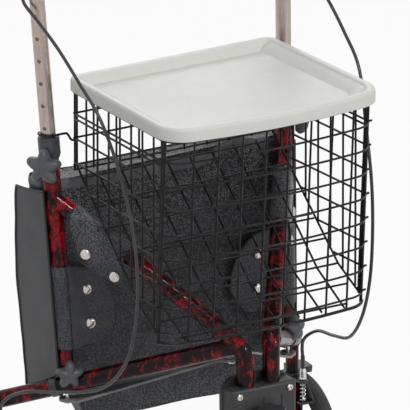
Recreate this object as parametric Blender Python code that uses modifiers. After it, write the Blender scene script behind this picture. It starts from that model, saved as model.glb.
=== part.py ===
"""Three-wheel folding rollator with a wire basket, a tray and a vinyl pouch.

Metres, +Z up, the front wheel towards -Y. Left and right are the user's own:
the user stands at +Y and looks towards -Y, so left is +X.
The origin lies on the floor, under the centre of the whole walker.
"""
import math

import bmesh
import bpy
from mathutils import Matrix, Vector

# Overall layout
COLLAR_Z = 0.650
UPRIGHT_X = 0.1974
UPRIGHT_Y = 0.0725
LEAN_OUT = 0.041
LEAN_BACK = 0.082
HINGE_X = 0.0217
HINGE_Y = -0.1725
GAP = 0.0003

# Tubes
FRAME_R = 0.0127
FRAME_BORE_R = 0.0115
HANDLE_R = 0.0111
LEG_R = 0.0095
TUBE_SIDES = 16
UPRIGHT_TOP_Z = 0.660
DIAGONAL_TOP_Z = 0.574
DIAGONAL_END_Z = 0.387
DIAGONAL_BEND_R = 0.050
LOWER_FRONT_Z = 0.3925
LOWER_UPRIGHT_Z = 0.298
LOWER_REACH = 0.135
LEG_REACH = 0.120
LEG_BOTTOM_Z = 0.074

# Head housing at the front
HOUSING_TOP_Z = 0.331
HOUSING_BOTTOM_Z = 0.236
HOUSING_HALF_WIDTH = 0.055
HOUSING_FRONT = 0.0175
HOUSING_BACK = 0.0165
FLANGE_THICKNESS = 0.008
FLANGE_RISE = 0.012
FLANGE_CORNER_R = 0.026
HEAD_BOLT_X = 0.042
HEAD_BOLT_DROP = 0.010
BOSS_R = 0.021
BOSS_TOP_Z = 0.302
STEER_AHEAD = 0.036
STEM_R = 0.008
TURN_CLEARANCE = 0.0004

# Wheels
WHEEL_R = 0.095
TYRE_WIDTH = 0.026
TYRE_DEPTH = 0.019
AXLE_R = 0.004
REAR_WHEEL_X = 0.287
REAR_WHEEL_BEHIND_LEG = 0.033
TRAIL = 0.036
SPOKES = 5

# Height collar and star knobs
COLLAR_R = 0.0158
COLLAR_HEIGHT = 0.032
KNOB_R = 0.0275
KNOB_LOBES = 5
KNOB_DEPTH = 0.020
HEIGHT_KNOB_Z = 0.6275
HEIGHT_KNOB_FACE = 0.037
FRAME_KNOB_R = 0.0215
FRAME_KNOB_Z = 0.316
FRAME_KNOB_FACE = 0.026
FRAME_KNOB_TURN = math.radians(22)
BOLT_R = 0.003
SHANK_R = 0.0052

# Handles
GRIP_Z = 0.905
HANDLE_BEND_R = 0.045
HANDLE_TOE_OUT = math.radians(12)
HANDLE_INSERT = 0.130
GRIP_START = 0.062
GRIP_LENGTH = 0.112
GRIP_R = 0.0165
HOLE_PITCH = 0.033
HOLE_COUNT = 6
HOLE_R = 0.0028
FIRST_HOLE_ABOVE_COLLAR = 0.030

# Brakes
LEVER_R = 0.0045
CABLE_R = 0.0025
CABLE_POINTS = 44
ADJUSTER_R = 0.0052
ADJUSTER_Z = 0.202
ADJUSTER_HEIGHT = 0.017
CABLE_AHEAD_OF_LEG = 0.029
SPRING_BOTTOM_Z = 0.170
SPRING_R = 0.0040
SPRING_WIRE_R = 0.0006
SPRING_TURNS = 5
BRAKE_PIVOT_Z = 0.199
BRACKET_THICKNESS = 0.003
ARM_THICKNESS = 0.003
CABLE_WIRE_R = 0.0006
SHOE_GAP = 0.0034
SHOE_DEPTH = 0.010
SHOE_START = 84
SHOE_END = 100
TAB_SLOT_LENGTH = 0.0050
TAB_SLOT_WIDTH = 0.0032
TAB_SLOT_BACK = 0.0007

# Folding spreader links
LINK_REACH = 0.2358
LINK_OUTER_Z = 0.2755
LINK_MIDDLE_Z = 0.3450
LINK_WIDTH = 0.024
LINK_THICKNESS = 0.004
LINK_PIN_R = 0.0032
LINK_SPACER = 0.0022

# Basket
WIRE_R = 0.0016
FRAME_WIRE_R = 0.0024
WIRE_BITE = 0.0019
WIRE_FACETS = 0
BASKET_TOP_Z = 0.7310
BASKET_BOTTOM_Z = 0.424
BASKET_BACK_Y = 0.0582
BASKET_POST_Y = -0.1855
BASKET_FRONT_Y = -0.2175
BASKET_FRONT_LEAN = 0.060
BASKET_BACK_HALF = 0.1646
BASKET_FRONT_HALF = 0.1718
BASKET_BOW = 0.010
BASKET_PITCH = 0.0377
BASKET_FIRST_DROP = 0.0325
BASKET_BACK_KNEE_Z = 0.621
BASKET_FLOOR_KNEE_Y = -0.120
BASKET_FLOOR_KNEE_Z = 0.464
FRONT_WIRES = 8
FRONT_CORNER_X = 0.133
SIDE_CELLS = 8
DOUBLE_WIRE_DROP = 0.0075

# Tray
TRAY_TOP_Z = 0.7540
TRAY_SKIRT = 0.020
TRAY_BACK_Y = 0.0668
TRAY_FRONT_Y = -0.2300
TRAY_BOW = 0.0105
TRAY_BACK_HALF = 0.172
TRAY_FRONT_HALF = 0.181
TRAY_BACK_CORNER_R = 0.028
TRAY_FRONT_CORNER_R = 0.045
TRAY_WALL = 0.0028
TRAY_RIM = 0.010
TRAY_SLOPE = 0.016
TRAY_RECESS = 0.0145

# Pouch
POUCH_TOP_Z = 0.600
POUCH_WAIST_Z = 0.335
POUCH_BOTTOM_Z = 0.232
POUCH_HALF_TOP = 0.196
POUCH_HALF_BOTTOM = 0.150
POUCH_DEPTH = 0.092
POUCH_BEHIND = 0.0131
FLAP_THICKNESS = 0.0022
FLAP_BACK_CUT = 0.0090
HOOK_WIRE_R = 0.0018
HOOK_ABOVE_COLLAR = 0.0036


def remove_everything():
    """Empties the scene without closing the file."""
    for thing in list(bpy.data.objects):
        bpy.data.objects.remove(thing, do_unlink=True)


def make_collection(name):
    """Returns a new collection linked to the scene."""
    group = bpy.data.collections.new(name)
    bpy.context.scene.collection.children.link(group)
    return group


def make_material(name, colour, roughness, metallic=0.0):
    """Returns a Principled material."""
    material = bpy.data.materials.new(name)
    material.use_nodes = True
    shader = material.node_tree.nodes["Principled BSDF"]
    shader.inputs["Base Color"].default_value = (*colour, 1.0)
    shader.inputs["Roughness"].default_value = roughness
    shader.inputs["Metallic"].default_value = metallic
    material.diffuse_color = (*colour, 1.0)
    return material


remove_everything()
PARTS = make_collection("three_wheel_rollator")
CUTTERS = make_collection("cutters")
RED = make_material("marbled_red_paint", (0.45, 0.01, 0.02), 0.20, 0.3)
BLACK = make_material("black_plastic", (0.03, 0.03, 0.032), 0.45)
GREY = make_material("grey_plastic", (0.09, 0.10, 0.11), 0.50)
BRONZE = make_material("bronze_anodised", (0.55, 0.44, 0.40), 0.30, 0.9)
STEEL = make_material("bright_steel", (0.75, 0.75, 0.76), 0.25, 1.0)
RUBBER = make_material("tyre_rubber", (0.02, 0.02, 0.02), 0.80)
WIRE = make_material("coated_wire", (0.015, 0.015, 0.017), 0.30)
TRAY = make_material("pale_grey_plastic", (0.68, 0.68, 0.65), 0.45)
VINYL = make_material("black_vinyl", (0.025, 0.027, 0.03), 0.40)


def add_object(name, data, material=None, group=None):
    """Links an object that holds the data."""
    thing = bpy.data.objects.new(name, data)
    (group or PARTS).objects.link(thing)
    if material:
        data.materials.clear()
        data.materials.append(material)
    return thing


def mesh_object(name, work, material=None):
    """Turns a bmesh into an object with outward faces."""
    bmesh.ops.recalc_face_normals(work, faces=work.faces[:])
    mesh = bpy.data.meshes.new(name)
    work.to_mesh(mesh)
    work.free()
    return add_object(name, mesh, material)


def bake(thing, weld=0.00001):
    """Replaces an object by the mesh that its modifiers or its curve give."""
    bpy.context.view_layer.update()
    seen = thing.evaluated_get(bpy.context.evaluated_depsgraph_get())
    mesh = bpy.data.meshes.new_from_object(seen)
    work = bmesh.new()
    work.from_mesh(mesh)
    bmesh.ops.remove_doubles(work, verts=work.verts[:], dist=weld)
    bmesh.ops.recalc_face_normals(work, faces=work.faces[:])
    work.to_mesh(mesh)
    work.free()
    name = thing.name
    place = thing.matrix_world.copy()
    material = thing.active_material
    bpy.data.objects.remove(thing, do_unlink=True)
    solid = add_object(name, mesh, material)
    solid.matrix_world = place
    solid.data.transform(solid.matrix_world)
    solid.matrix_world = Matrix.Identity(4)
    return solid


def boolean(thing, others, operation):
    """Cuts or joins solids, removes the others and returns the result."""
    for other in others:
        other.hide_render = True
        other.display_type = "WIRE"
        step = thing.modifiers.new("step", "BOOLEAN")
        step.operation = operation
        step.solver = "EXACT"
        step.object = other
    solid = bake(thing, 0.0000005)
    for other in others:
        bpy.data.objects.remove(other, do_unlink=True)
    return solid


def cut(thing, *others):
    """Takes the other solids out of this one."""
    return boolean(thing, others, "DIFFERENCE")


def fuse(thing, *others):
    """Joins solids that overlap into one body."""
    return boolean(thing, others, "UNION")


def collect(name, things, material):
    """Groups separate solids in one object, without joining them."""
    work = bmesh.new()
    for thing in things:
        work.from_mesh(thing.data)
        bpy.data.objects.remove(thing, do_unlink=True)
    mesh = bpy.data.meshes.new(name)
    work.to_mesh(mesh)
    work.free()
    return add_object(name, mesh, material)


def finish(thing, name, material, origin=None, smooth=True):
    """Names a piece, gives it its finish and puts its origin on its axis."""
    thing.name = name
    thing.data.name = name
    thing.data.materials.clear()
    thing.data.materials.append(material)
    if smooth:
        thing.data.shade_smooth()
        thing.data.set_sharp_from_angle(angle=math.radians(35))
    if origin is not None:
        thing.data.transform(Matrix.Translation(-Vector(origin)))
        thing.location = Vector(origin)
    return thing


def frame_along(start, end, near=Vector((0, 0, 1))):
    """Returns a matrix at start whose Z runs to end and whose X is near."""
    along = (Vector(end) - Vector(start)).normalized()
    side = near - near.dot(along) * along
    if side.length < 0.001:
        side = Vector((1, 0, 0)) - along.x * along
    side.normalize()
    other = along.cross(side)
    turn = Matrix((side, other, along)).transposed()
    return Matrix.Translation(Vector(start)) @ turn.to_4x4()


def rod(start, end, radius, sides=TUBE_SIDES, end_radius=None):
    """Returns a cylinder or cone between two points."""
    length = (Vector(end) - Vector(start)).length
    work = bmesh.new()
    bmesh.ops.create_cone(
        work, cap_ends=True, segments=sides, radius1=radius,
        radius2=radius if end_radius is None else end_radius, depth=length)
    bmesh.ops.translate(work, verts=work.verts[:], vec=(0, 0, length / 2))
    bmesh.ops.transform(work, verts=work.verts[:], matrix=frame_along(start, end))
    return mesh_object("rod", work)


def block(low, high, round_edges=0.0, steps=2):
    """Returns a box between two corners, with rounded edges if asked."""
    low = Vector(low)
    high = Vector(high)
    work = bmesh.new()
    bmesh.ops.create_cube(work, size=1.0)
    bmesh.ops.scale(work, verts=work.verts[:], vec=high - low)
    bmesh.ops.translate(work, verts=work.verts[:], vec=(low + high) / 2)
    if round_edges:
        bmesh.ops.bevel(work, geom=work.edges[:], offset=round_edges, segments=steps,
                        profile=0.5, affect="EDGES")
    return mesh_object("block", work)


def sweep(points, radius, resolution=3, closed=False, radii=None):
    """Returns a round tube with filled ends along a list of points."""
    curve = bpy.data.curves.new("sweep", "CURVE")
    curve.dimensions = "3D"
    curve.bevel_depth = radius
    curve.bevel_resolution = resolution
    curve.use_fill_caps = True
    spline = curve.splines.new("POLY")
    spline.points.add(len(points) - 1)
    for index, point in enumerate(points):
        spline.points[index].co = (*point, 1.0)
        if radii:
            spline.points[index].radius = radii[index]
    spline.use_cyclic_u = closed
    return bake(add_object("sweep", curve))


def plate(outline, thickness, place):
    """Returns a flat plate from an outline in its own XY plane."""
    curve = bpy.data.curves.new("plate", "CURVE")
    curve.dimensions = "2D"
    curve.fill_mode = "BOTH"
    curve.extrude = thickness / 2
    spline = curve.splines.new("POLY")
    spline.points.add(len(outline) - 1)
    for index, point in enumerate(outline):
        spline.points[index].co = (point[0], point[1], 0.0, 1.0)
    spline.use_cyclic_u = True
    thing = add_object("plate", curve)
    thing.matrix_world = place
    return bake(thing)


def turned(profile, steps, place, closed=False):
    """Returns a turned solid from a profile of radius and height pairs."""
    work = bmesh.new()
    verts = [work.verts.new((radius, 0.0, height)) for radius, height in profile]
    for first, second in zip(verts, verts[1:]):
        work.edges.new((first, second))
    if closed:
        work.edges.new((verts[-1], verts[0]))
    mesh = bpy.data.meshes.new("turned")
    work.to_mesh(mesh)
    work.free()
    thing = add_object("turned", mesh)
    screw = thing.modifiers.new("screw", "SCREW")
    screw.axis = "Z"
    screw.steps = steps
    screw.render_steps = steps
    screw.use_merge_vertices = True
    screw.merge_threshold = 0.00002
    thing.matrix_world = place
    return bake(thing)


def arc(centre, radius, start, end, steps):
    """Lists points on an arc in a plane, angles in degrees."""
    points = []
    for step in range(steps + 1):
        angle = math.radians(start + (end - start) * step / steps)
        points.append((centre[0] + radius * math.cos(angle),
                       centre[1] + radius * math.sin(angle)))
    return points


def rounded_path(corners, radii, steps=6):
    """Replaces each inner corner of a path by an arc of its own radius."""
    path = [Vector(corners[0])]
    for before, corner, after, radius in zip(corners, corners[1:], corners[2:], radii):
        before, corner, after = Vector(before), Vector(corner), Vector(after)
        inward = (before - corner).normalized()
        outward = (after - corner).normalized()
        half = inward.angle(outward) / 2
        back = radius / math.tan(half)
        centre = corner + (inward + outward).normalized() * radius / math.sin(half)
        first = corner + inward * back - centre
        last = corner + outward * back - centre
        swing = first.angle(last)
        for step in range(steps + 1):
            share = step / steps
            mix = (math.sin((1 - share) * swing) * first + math.sin(share * swing) * last)
            path.append(centre + mix / math.sin(swing))
    path.append(Vector(corners[-1]))
    return path


def smooth_path(points, count):
    """Reads evenly spaced points from a smooth curve through the given ones."""
    points = [Vector(point) for point in points]
    ends = [2 * points[0] - points[1]] + points + [2 * points[-1] - points[-2]]
    fine = []
    for a, b, c, d in zip(ends, ends[1:], ends[2:], ends[3:]):
        for step in range(12):
            t = step / 12
            fine.append(0.5 * (2 * b + (c - a) * t + (2 * a - 5 * b + 4 * c - d) * t * t
                               + (3 * b - a - 3 * c + d) * t ** 3))
    fine.append(points[-1])
    lengths = [0.0]
    for first, second in zip(fine, fine[1:]):
        lengths.append(lengths[-1] + (second - first).length)
    path = []
    place = 0
    for index in range(count):
        target = lengths[-1] * index / (count - 1)
        while place < len(fine) - 2 and lengths[place + 1] < target:
            place += 1
        span = max(lengths[place + 1] - lengths[place], 1e-9)
        path.append(fine[place].lerp(fine[place + 1], (target - lengths[place]) / span))
    return path


def upright_at(side, height):
    """Returns the point of an upright's axis at a height."""
    rise = height - COLLAR_Z
    return Vector((side * (UPRIGHT_X + LEAN_OUT * rise), UPRIGHT_Y + LEAN_BACK * rise, height))


def upright_direction(side):
    """Returns the unit vector up along an upright."""
    return Vector((side * LEAN_OUT, LEAN_BACK, 1.0)).normalized()


def hinge_at(side, height):
    """Returns the point of a side frame's hinge axis at a height."""
    return Vector((side * HINGE_X, HINGE_Y, height))


def frame_heading(side):
    """Returns the level unit vector from the hinge back along a side frame."""
    reach = upright_at(side, LOWER_UPRIGHT_Z) - hinge_at(side, LOWER_UPRIGHT_Z)
    return reach.normalized()


def lower_tube_at(side, reach):
    """Returns a point of the lower tube, a level distance behind the upright."""
    start = hinge_at(side, LOWER_FRONT_Z)
    meet = upright_at(side, LOWER_UPRIGHT_Z)
    level = (meet - start).xy.length
    return start + (meet - start) * (level + reach) / level


def leg_axis(side):
    """Returns the plan position of a leg."""
    point = lower_tube_at(side, LEG_REACH)
    return point.x, point.y


def outboard(side):
    """Returns the level unit vector square to a side frame, away from the basket."""
    heading = frame_heading(side)
    return Vector((side * abs(heading.y), -abs(heading.x), 0.0))


def star_outline(radius, lobes, steps=3):
    """Lists the outline of a star knob with round tips."""
    points = []
    total = lobes * steps * 2
    for index in range(total):
        angle = 2 * math.pi * index / total
        wave = 0.5 + 0.5 * math.cos(lobes * angle)
        reach = radius * (0.50 + 0.50 * wave ** 0.8)
        points.append((reach * math.cos(angle), reach * math.sin(angle)))
    return points


def star_knob(start, direction, face, radius, name):
    """Makes a star knob with its shank and bolt, from the bolt's tip outwards."""
    direction = direction.normalized()
    base = start + direction * face
    place = frame_along(base, base + direction)
    outline = star_outline(radius, KNOB_LOBES)
    work = bmesh.new()
    rings = []
    levels = ((0.0, 0.82), (0.35, 1.0), (1.0, 0.80))
    for share, scale in levels:
        height = share * KNOB_DEPTH
        rings.append([work.verts.new((x * scale, y * scale, height)) for x, y in outline])
    for lower, upper in zip(rings, rings[1:]):
        for index in range(len(outline)):
            after = (index + 1) % len(outline)
            work.faces.new((lower[index], lower[after], upper[after], upper[index]))
    work.faces.new(rings[0])
    work.faces.new(rings[-1])
    bmesh.ops.transform(work, verts=work.verts[:], matrix=place)
    star = mesh_object("star", work)
    shank = rod(start + direction * (FRAME_R + GAP), base + direction * 0.006,
                SHANK_R, 12, radius * 0.50)
    bolt = rod(start + direction * (HANDLE_R + GAP), start + direction * (FRAME_R + 0.004),
               BOLT_R, 10)
    knob = fuse(star, shank, bolt)
    return finish(knob, name, GREY, start)


def make_head():
    """Makes the hinge housing with its two bolt heads."""
    flange_y = HINGE_Y + HOUSING_BACK - FLANGE_THICKNESS
    top = HOUSING_TOP_Z + FLANGE_RISE
    outline = [(-HOUSING_HALF_WIDTH, HOUSING_BOTTOM_Z)]
    for turn, corner_x in ((180, -1), (90, 1)):
        centre = (corner_x * (HOUSING_HALF_WIDTH - FLANGE_CORNER_R), top - FLANGE_CORNER_R)
        outline += arc(centre, FLANGE_CORNER_R, turn, turn - 90, 5)
    outline.append((HOUSING_HALF_WIDTH, HOUSING_BOTTOM_Z))
    upright_plane = Matrix.Translation((0, flange_y + FLANGE_THICKNESS / 2, 0))
    upright_plane = upright_plane @ Matrix.Rotation(math.radians(90), 4, "X")
    flange = plate(outline, FLANGE_THICKNESS, upright_plane)
    body = block((-HOUSING_HALF_WIDTH + 0.001, HINGE_Y - HOUSING_FRONT, HOUSING_BOTTOM_Z - 0.004),
                 (HOUSING_HALF_WIDTH - 0.001, HINGE_Y + HOUSING_BACK - 0.002, HOUSING_TOP_Z), 0.0047)
    steer_y = HINGE_Y - STEER_AHEAD
    boss = rod((0, steer_y, HOUSING_BOTTOM_Z - 0.008), (0, steer_y, BOSS_TOP_Z), BOSS_R, 18)
    web = block((-BOSS_R + 0.002, steer_y, HOUSING_BOTTOM_Z - 0.006),
                (BOSS_R - 0.002, HINGE_Y, BOSS_TOP_Z - 0.003))
    heads = []
    for side in (-1, 1):
        head_y = HINGE_Y - HOUSING_FRONT
        head_z = HOUSING_TOP_Z - HEAD_BOLT_DROP
        heads.append(rod((side * HEAD_BOLT_X, head_y + 0.004, head_z),
                         (side * HEAD_BOLT_X, head_y - 0.004, head_z), 0.0048, 12, 0.0036))
    housing = fuse(body, flange, boss, web, *heads)
    bores = []
    for side in (-1, 1):
        bores.append(rod(hinge_at(side, HOUSING_BOTTOM_Z - 0.02), hinge_at(side, top + 0.02),
                         FRAME_R + TURN_CLEARANCE, TUBE_SIDES))
    bores.append(rod((0, steer_y, HOUSING_BOTTOM_Z - 0.03), (0, steer_y, BOSS_TOP_Z - 0.006),
                     STEM_R + TURN_CLEARANCE, 16))
    finish(cut(housing, *bores), "head_housing", BLACK)


def make_fork():
    """Makes the swivelling fork with its stem."""
    steer_y = HINGE_Y - STEER_AHEAD
    axle_y = steer_y + TRAIL
    crown_z = HOUSING_BOTTOM_Z - 0.008 - 0.0008
    half = 0.0205
    inner = 0.0165
    outline = [(steer_y - 0.021, crown_z), (steer_y - 0.021, crown_z - 0.012)]
    outline += arc((axle_y, WHEEL_R), 0.015, 200, 350, 6)
    outline += [(steer_y + 0.030, crown_z - 0.014), (steer_y + 0.023, crown_z)]
    side_plane = Matrix(((0, 0, 1, 0), (1, 0, 0, 0), (0, 1, 0, 0), (0, 0, 0, 1)))
    blades = plate(outline, 2 * half, side_plane)
    stem = rod((0, steer_y, crown_z - 0.004), (0, steer_y, BOSS_TOP_Z - 0.010), STEM_R, 16)
    gap = block((-inner, steer_y - 0.06, WHEEL_R - 0.05), (inner, axle_y + 0.06, crown_z - 0.006))
    holes = rod((-0.03, axle_y, WHEEL_R), (0.03, axle_y, WHEEL_R), AXLE_R + GAP, 12)
    blades = cut(blades, gap, holes)
    fork = fuse(blades, stem)
    finish(fork, "fork", BLACK, (0, steer_y, crown_z))


def wheel(name, centre, half_hub):
    """Makes a wheel's tyre and its spoked rim, turning about X."""
    place = Matrix.Translation(centre) @ Matrix.Rotation(math.radians(90), 4, "Y")
    half = TYRE_WIDTH / 2
    inner = WHEEL_R - TYRE_DEPTH
    crown = []
    for angle in (70, 28, -28, -70):
        turn = math.radians(angle)
        crown.append((WHEEL_R - 0.008 + 0.008 * math.cos(turn), half * math.sin(turn)))
    profile = [(inner + 0.0005, half * 0.72)] + crown + [(inner + 0.0005, -half * 0.72)]
    tyre = turned(profile, 32, place, closed=True)
    finish(tyre, name + "_tyre", RUBBER, centre)
    bore = AXLE_R + 0.0003
    rim_half = half * 0.70
    rim = turned([(inner - GAP, rim_half), (inner - GAP, -rim_half), (inner - 0.006, -rim_half),
                  (inner - 0.008, -0.003), (inner - 0.008, 0.003), (inner - 0.006, rim_half)],
                 28, place, closed=True)
    hub = turned([(bore, half_hub), (0.012, half_hub), (0.016, 0.006), (0.016, -0.006),
                  (0.012, -half_hub), (bore, -half_hub)], 12, place, closed=True)
    spokes = []
    for index in range(SPOKES):
        angle = 2 * math.pi * index / SPOKES
        out = Vector((0, math.cos(angle), math.sin(angle)))
        across = Vector((0, -out.z, out.y))
        base = centre + out * 0.0135
        tip = centre + out * (inner - 0.0055)
        work = bmesh.new()
        ring = []
        for point, width, depth in ((base, 0.008, 0.0055), (tip, 0.013, 0.0045)):
            for dx, dw in ((-1, -1), (1, -1), (1, 1), (-1, 1)):
                ring.append(work.verts.new(point + Vector((dx * depth, 0, 0)) + across * dw * width))
        for quad in ((0, 1, 2, 3), (4, 5, 6, 7), (0, 1, 5, 4), (1, 2, 6, 5), (2, 3, 7, 6),
                     (3, 0, 4, 7)):
            work.faces.new([ring[corner] for corner in quad])
        spokes.append(mesh_object("spoke", work))
    rim = fuse(rim, hub, *spokes)
    finish(rim, name + "_rim", GREY, centre)


def axle(name, start, end, nut_at_end=True):
    """Makes an axle bolt with a head and a nut."""
    start = Vector(start)
    end = Vector(end)
    along = (end - start).normalized()
    shaft = rod(start, end, AXLE_R, 12)
    head = rod(start - along * 0.0045, start + along * 0.0005, 0.0070, 6)
    nut = rod(end - along * 0.0005, end + along * 0.0045, 0.0070, 6)
    finish(fuse(shaft, head, nut), name, STEEL, smooth=False)


def make_front_wheel():
    """Makes the front wheel between the fork's blades."""
    centre = Vector((0, HINGE_Y - STEER_AHEAD + TRAIL, WHEEL_R))
    wheel("front", centre, 0.0160)
    axle("front_axle", centre - Vector((0.0213, 0, 0)), centre + Vector((0.0213, 0, 0)))


def make_side_frame(side, word):
    """Makes the tubes of one side frame, its leg and its wheel bracket."""
    top = upright_at(side, UPRIGHT_TOP_Z)
    bottom = upright_at(side, LOWER_UPRIGHT_Z + 0.003)
    upright = rod(bottom, top, FRAME_R)
    bore = rod(upright_at(side, FRAME_KNOB_Z + 0.012), top + upright_direction(side) * 0.01,
               FRAME_BORE_R)
    saddle = rod(lower_tube_at(side, -0.08), lower_tube_at(side, 0.08), FRAME_R + GAP)
    knob_way = outboard(side)
    knob_seat = upright_at(side, HEIGHT_KNOB_Z)
    knob_hole = rod(knob_seat, knob_seat + knob_way * 0.03, BOLT_R + GAP, 10)
    low_seat = upright_at(side, FRAME_KNOB_Z)
    low_hole = rod(low_seat + frame_knob_way(side) * (HANDLE_R - 0.001),
                   low_seat + frame_knob_way(side) * 0.03, BOLT_R + GAP, 10)
    upright = cut(upright, bore, saddle, knob_hole, low_hole)
    finish(upright, word + "_upright", RED)

    start = upright_at(side, DIAGONAL_TOP_Z)
    knee = hinge_at(side, DIAGONAL_END_Z)
    foot = hinge_at(side, HOUSING_BOTTOM_Z + 0.004)
    path = rounded_path([start, knee, foot], [DIAGONAL_BEND_R], 6)
    tube = sweep(path, FRAME_R, 6)
    notch = rod(upright_at(side, DIAGONAL_TOP_Z - 0.09), upright_at(side, DIAGONAL_TOP_Z + 0.09),
                FRAME_R + GAP)
    tube = cut(tube, notch)
    finish(tube, word + "_front_tube", RED, hinge_at(side, HOUSING_TOP_Z))

    lower = rod(hinge_at(side, LOWER_FRONT_Z), lower_tube_at(side, LOWER_REACH), FRAME_R)
    run = sweep(path, FRAME_R + GAP, 7)
    lower = cut(lower, run)
    lower = fuse(keep_largest(lower), link_pin(side))
    finish(lower, word + "_lower_tube", RED)

    x, y = leg_axis(side)
    leg = rod((x, y, LEG_BOTTOM_Z), (x, y, lower_tube_at(side, LEG_REACH).z), LEG_R, 18)
    leg_notch = rod(lower_tube_at(side, LEG_REACH - 0.06), lower_tube_at(side, LEG_REACH + 0.06),
                    FRAME_R + GAP)
    leg = keep_largest(cut(leg, leg_notch))
    finish(leg, word + "_leg", RED)
    make_wheel_bracket(side, word)


def keep_largest(thing):
    """Drops the slivers that a cut leaves and keeps the main body."""
    work = bmesh.new()
    work.from_mesh(thing.data)
    unseen = set(work.verts)
    groups = []
    while unseen:
        stack = [unseen.pop()]
        group = set(stack)
        while stack:
            vert = stack.pop()
            for edge in vert.link_edges:
                other = edge.other_vert(vert)
                if other in unseen:
                    unseen.discard(other)
                    group.add(other)
                    stack.append(other)
        groups.append(group)
    groups.sort(key=len)
    for group in groups[:-1]:
        bmesh.ops.delete(work, geom=list(group), context="VERTS")
    work.to_mesh(thing.data)
    work.free()
    return thing


def frame_knob_way(side):
    """Returns the level direction in which the lower star knob faces."""
    return Vector((side * math.sin(FRAME_KNOB_TURN), -math.cos(FRAME_KNOB_TURN), 0.0))


def side_plane_at(x):
    """Returns a matrix that lays an outline of Y and Z on the plane at X."""
    return Matrix(((0, 0, 1, x), (1, 0, 0, 0), (0, 1, 0, 0), (0, 0, 0, 1)))


def bracket_inner(side):
    """Returns how far out the inner face of a wheel bracket lies."""
    return abs(leg_axis(side)[0]) + LEG_R + GAP


def make_wheel_bracket(side, word):
    """Makes the clamp, wheel plate, brake pivot and cable stop in one piece."""
    x, y = leg_axis(side)
    near = bracket_inner(side)
    mid = side * (near + BRACKET_THICKNESS / 2)
    axle_y = y + REAR_WHEEL_BEHIND_LEG
    outline = arc((axle_y, WHEEL_R), 0.016, -110, 45, 7)
    outline += arc((y, BRAKE_PIVOT_Z), 0.0085, 30, 180, 6)
    outline += arc((y, WHEEL_R - 0.006), 0.0085, 180, 250, 4)
    body = plate(outline, BRACKET_THICKNESS, side_plane_at(mid))
    stop_y = y - CABLE_AHEAD_OF_LEG
    bands = []
    for low, high in ((ADJUSTER_Z - 0.010, ADJUSTER_Z + 0.004), (WHEEL_R - 0.010, WHEEL_R + 0.010)):
        bands.append(rod((x, y, low), (x, y, high), LEG_R + 0.0028, 14))
    tab = block((x - 0.007, stop_y - 0.007, ADJUSTER_Z - 0.0045),
                (x + 0.007, y - LEG_R - 0.001, ADJUSTER_Z - 0.0005))
    pin_end = near + BRACKET_THICKNESS + ARM_THICKNESS + 0.0007
    pin = rod((side * (near + 0.001), y, BRAKE_PIVOT_Z), (side * (pin_end + 0.001), y, BRAKE_PIVOT_Z),
              0.0030, 12)
    head = rod((side * pin_end, y, BRAKE_PIVOT_Z), (side * (pin_end + 0.003), y, BRAKE_PIVOT_Z),
               0.0055, 12)
    bracket = fuse(body, tab, pin, head, *bands)
    leg_bore = rod((x, y, WHEEL_R - 0.08), (x, y, ADJUSTER_Z + 0.03), LEG_R + GAP, 18)
    wire_bore = rod((x, stop_y, ADJUSTER_Z - 0.03), (x, stop_y, ADJUSTER_Z + 0.03), 0.0018, 10)
    axle_bore = rod((mid - 0.01, axle_y, WHEEL_R), (mid + 0.01, axle_y, WHEEL_R), AXLE_R + GAP, 12)
    bracket = cut(bracket, leg_bore, wire_bore, axle_bore)
    finish(bracket, word + "_wheel_bracket", BLACK)


def make_rear_wheel(side, word):
    """Makes a rear wheel and its axle."""
    y = leg_axis(side)[1]
    axle_y = y + REAR_WHEEL_BEHIND_LEG
    centre = Vector((side * REAR_WHEEL_X, axle_y, WHEEL_R))
    inside = bracket_inner(side) + BRACKET_THICKNESS + 0.0005
    half_hub = REAR_WHEEL_X - inside
    wheel(word + "_rear", centre, half_hub)
    first = side * (bracket_inner(side) - 0.0006)
    last = side * (REAR_WHEEL_X + half_hub + 0.0008)
    axle(word + "_rear_axle", (first, axle_y, WHEEL_R), (last, axle_y, WHEEL_R))


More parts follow.
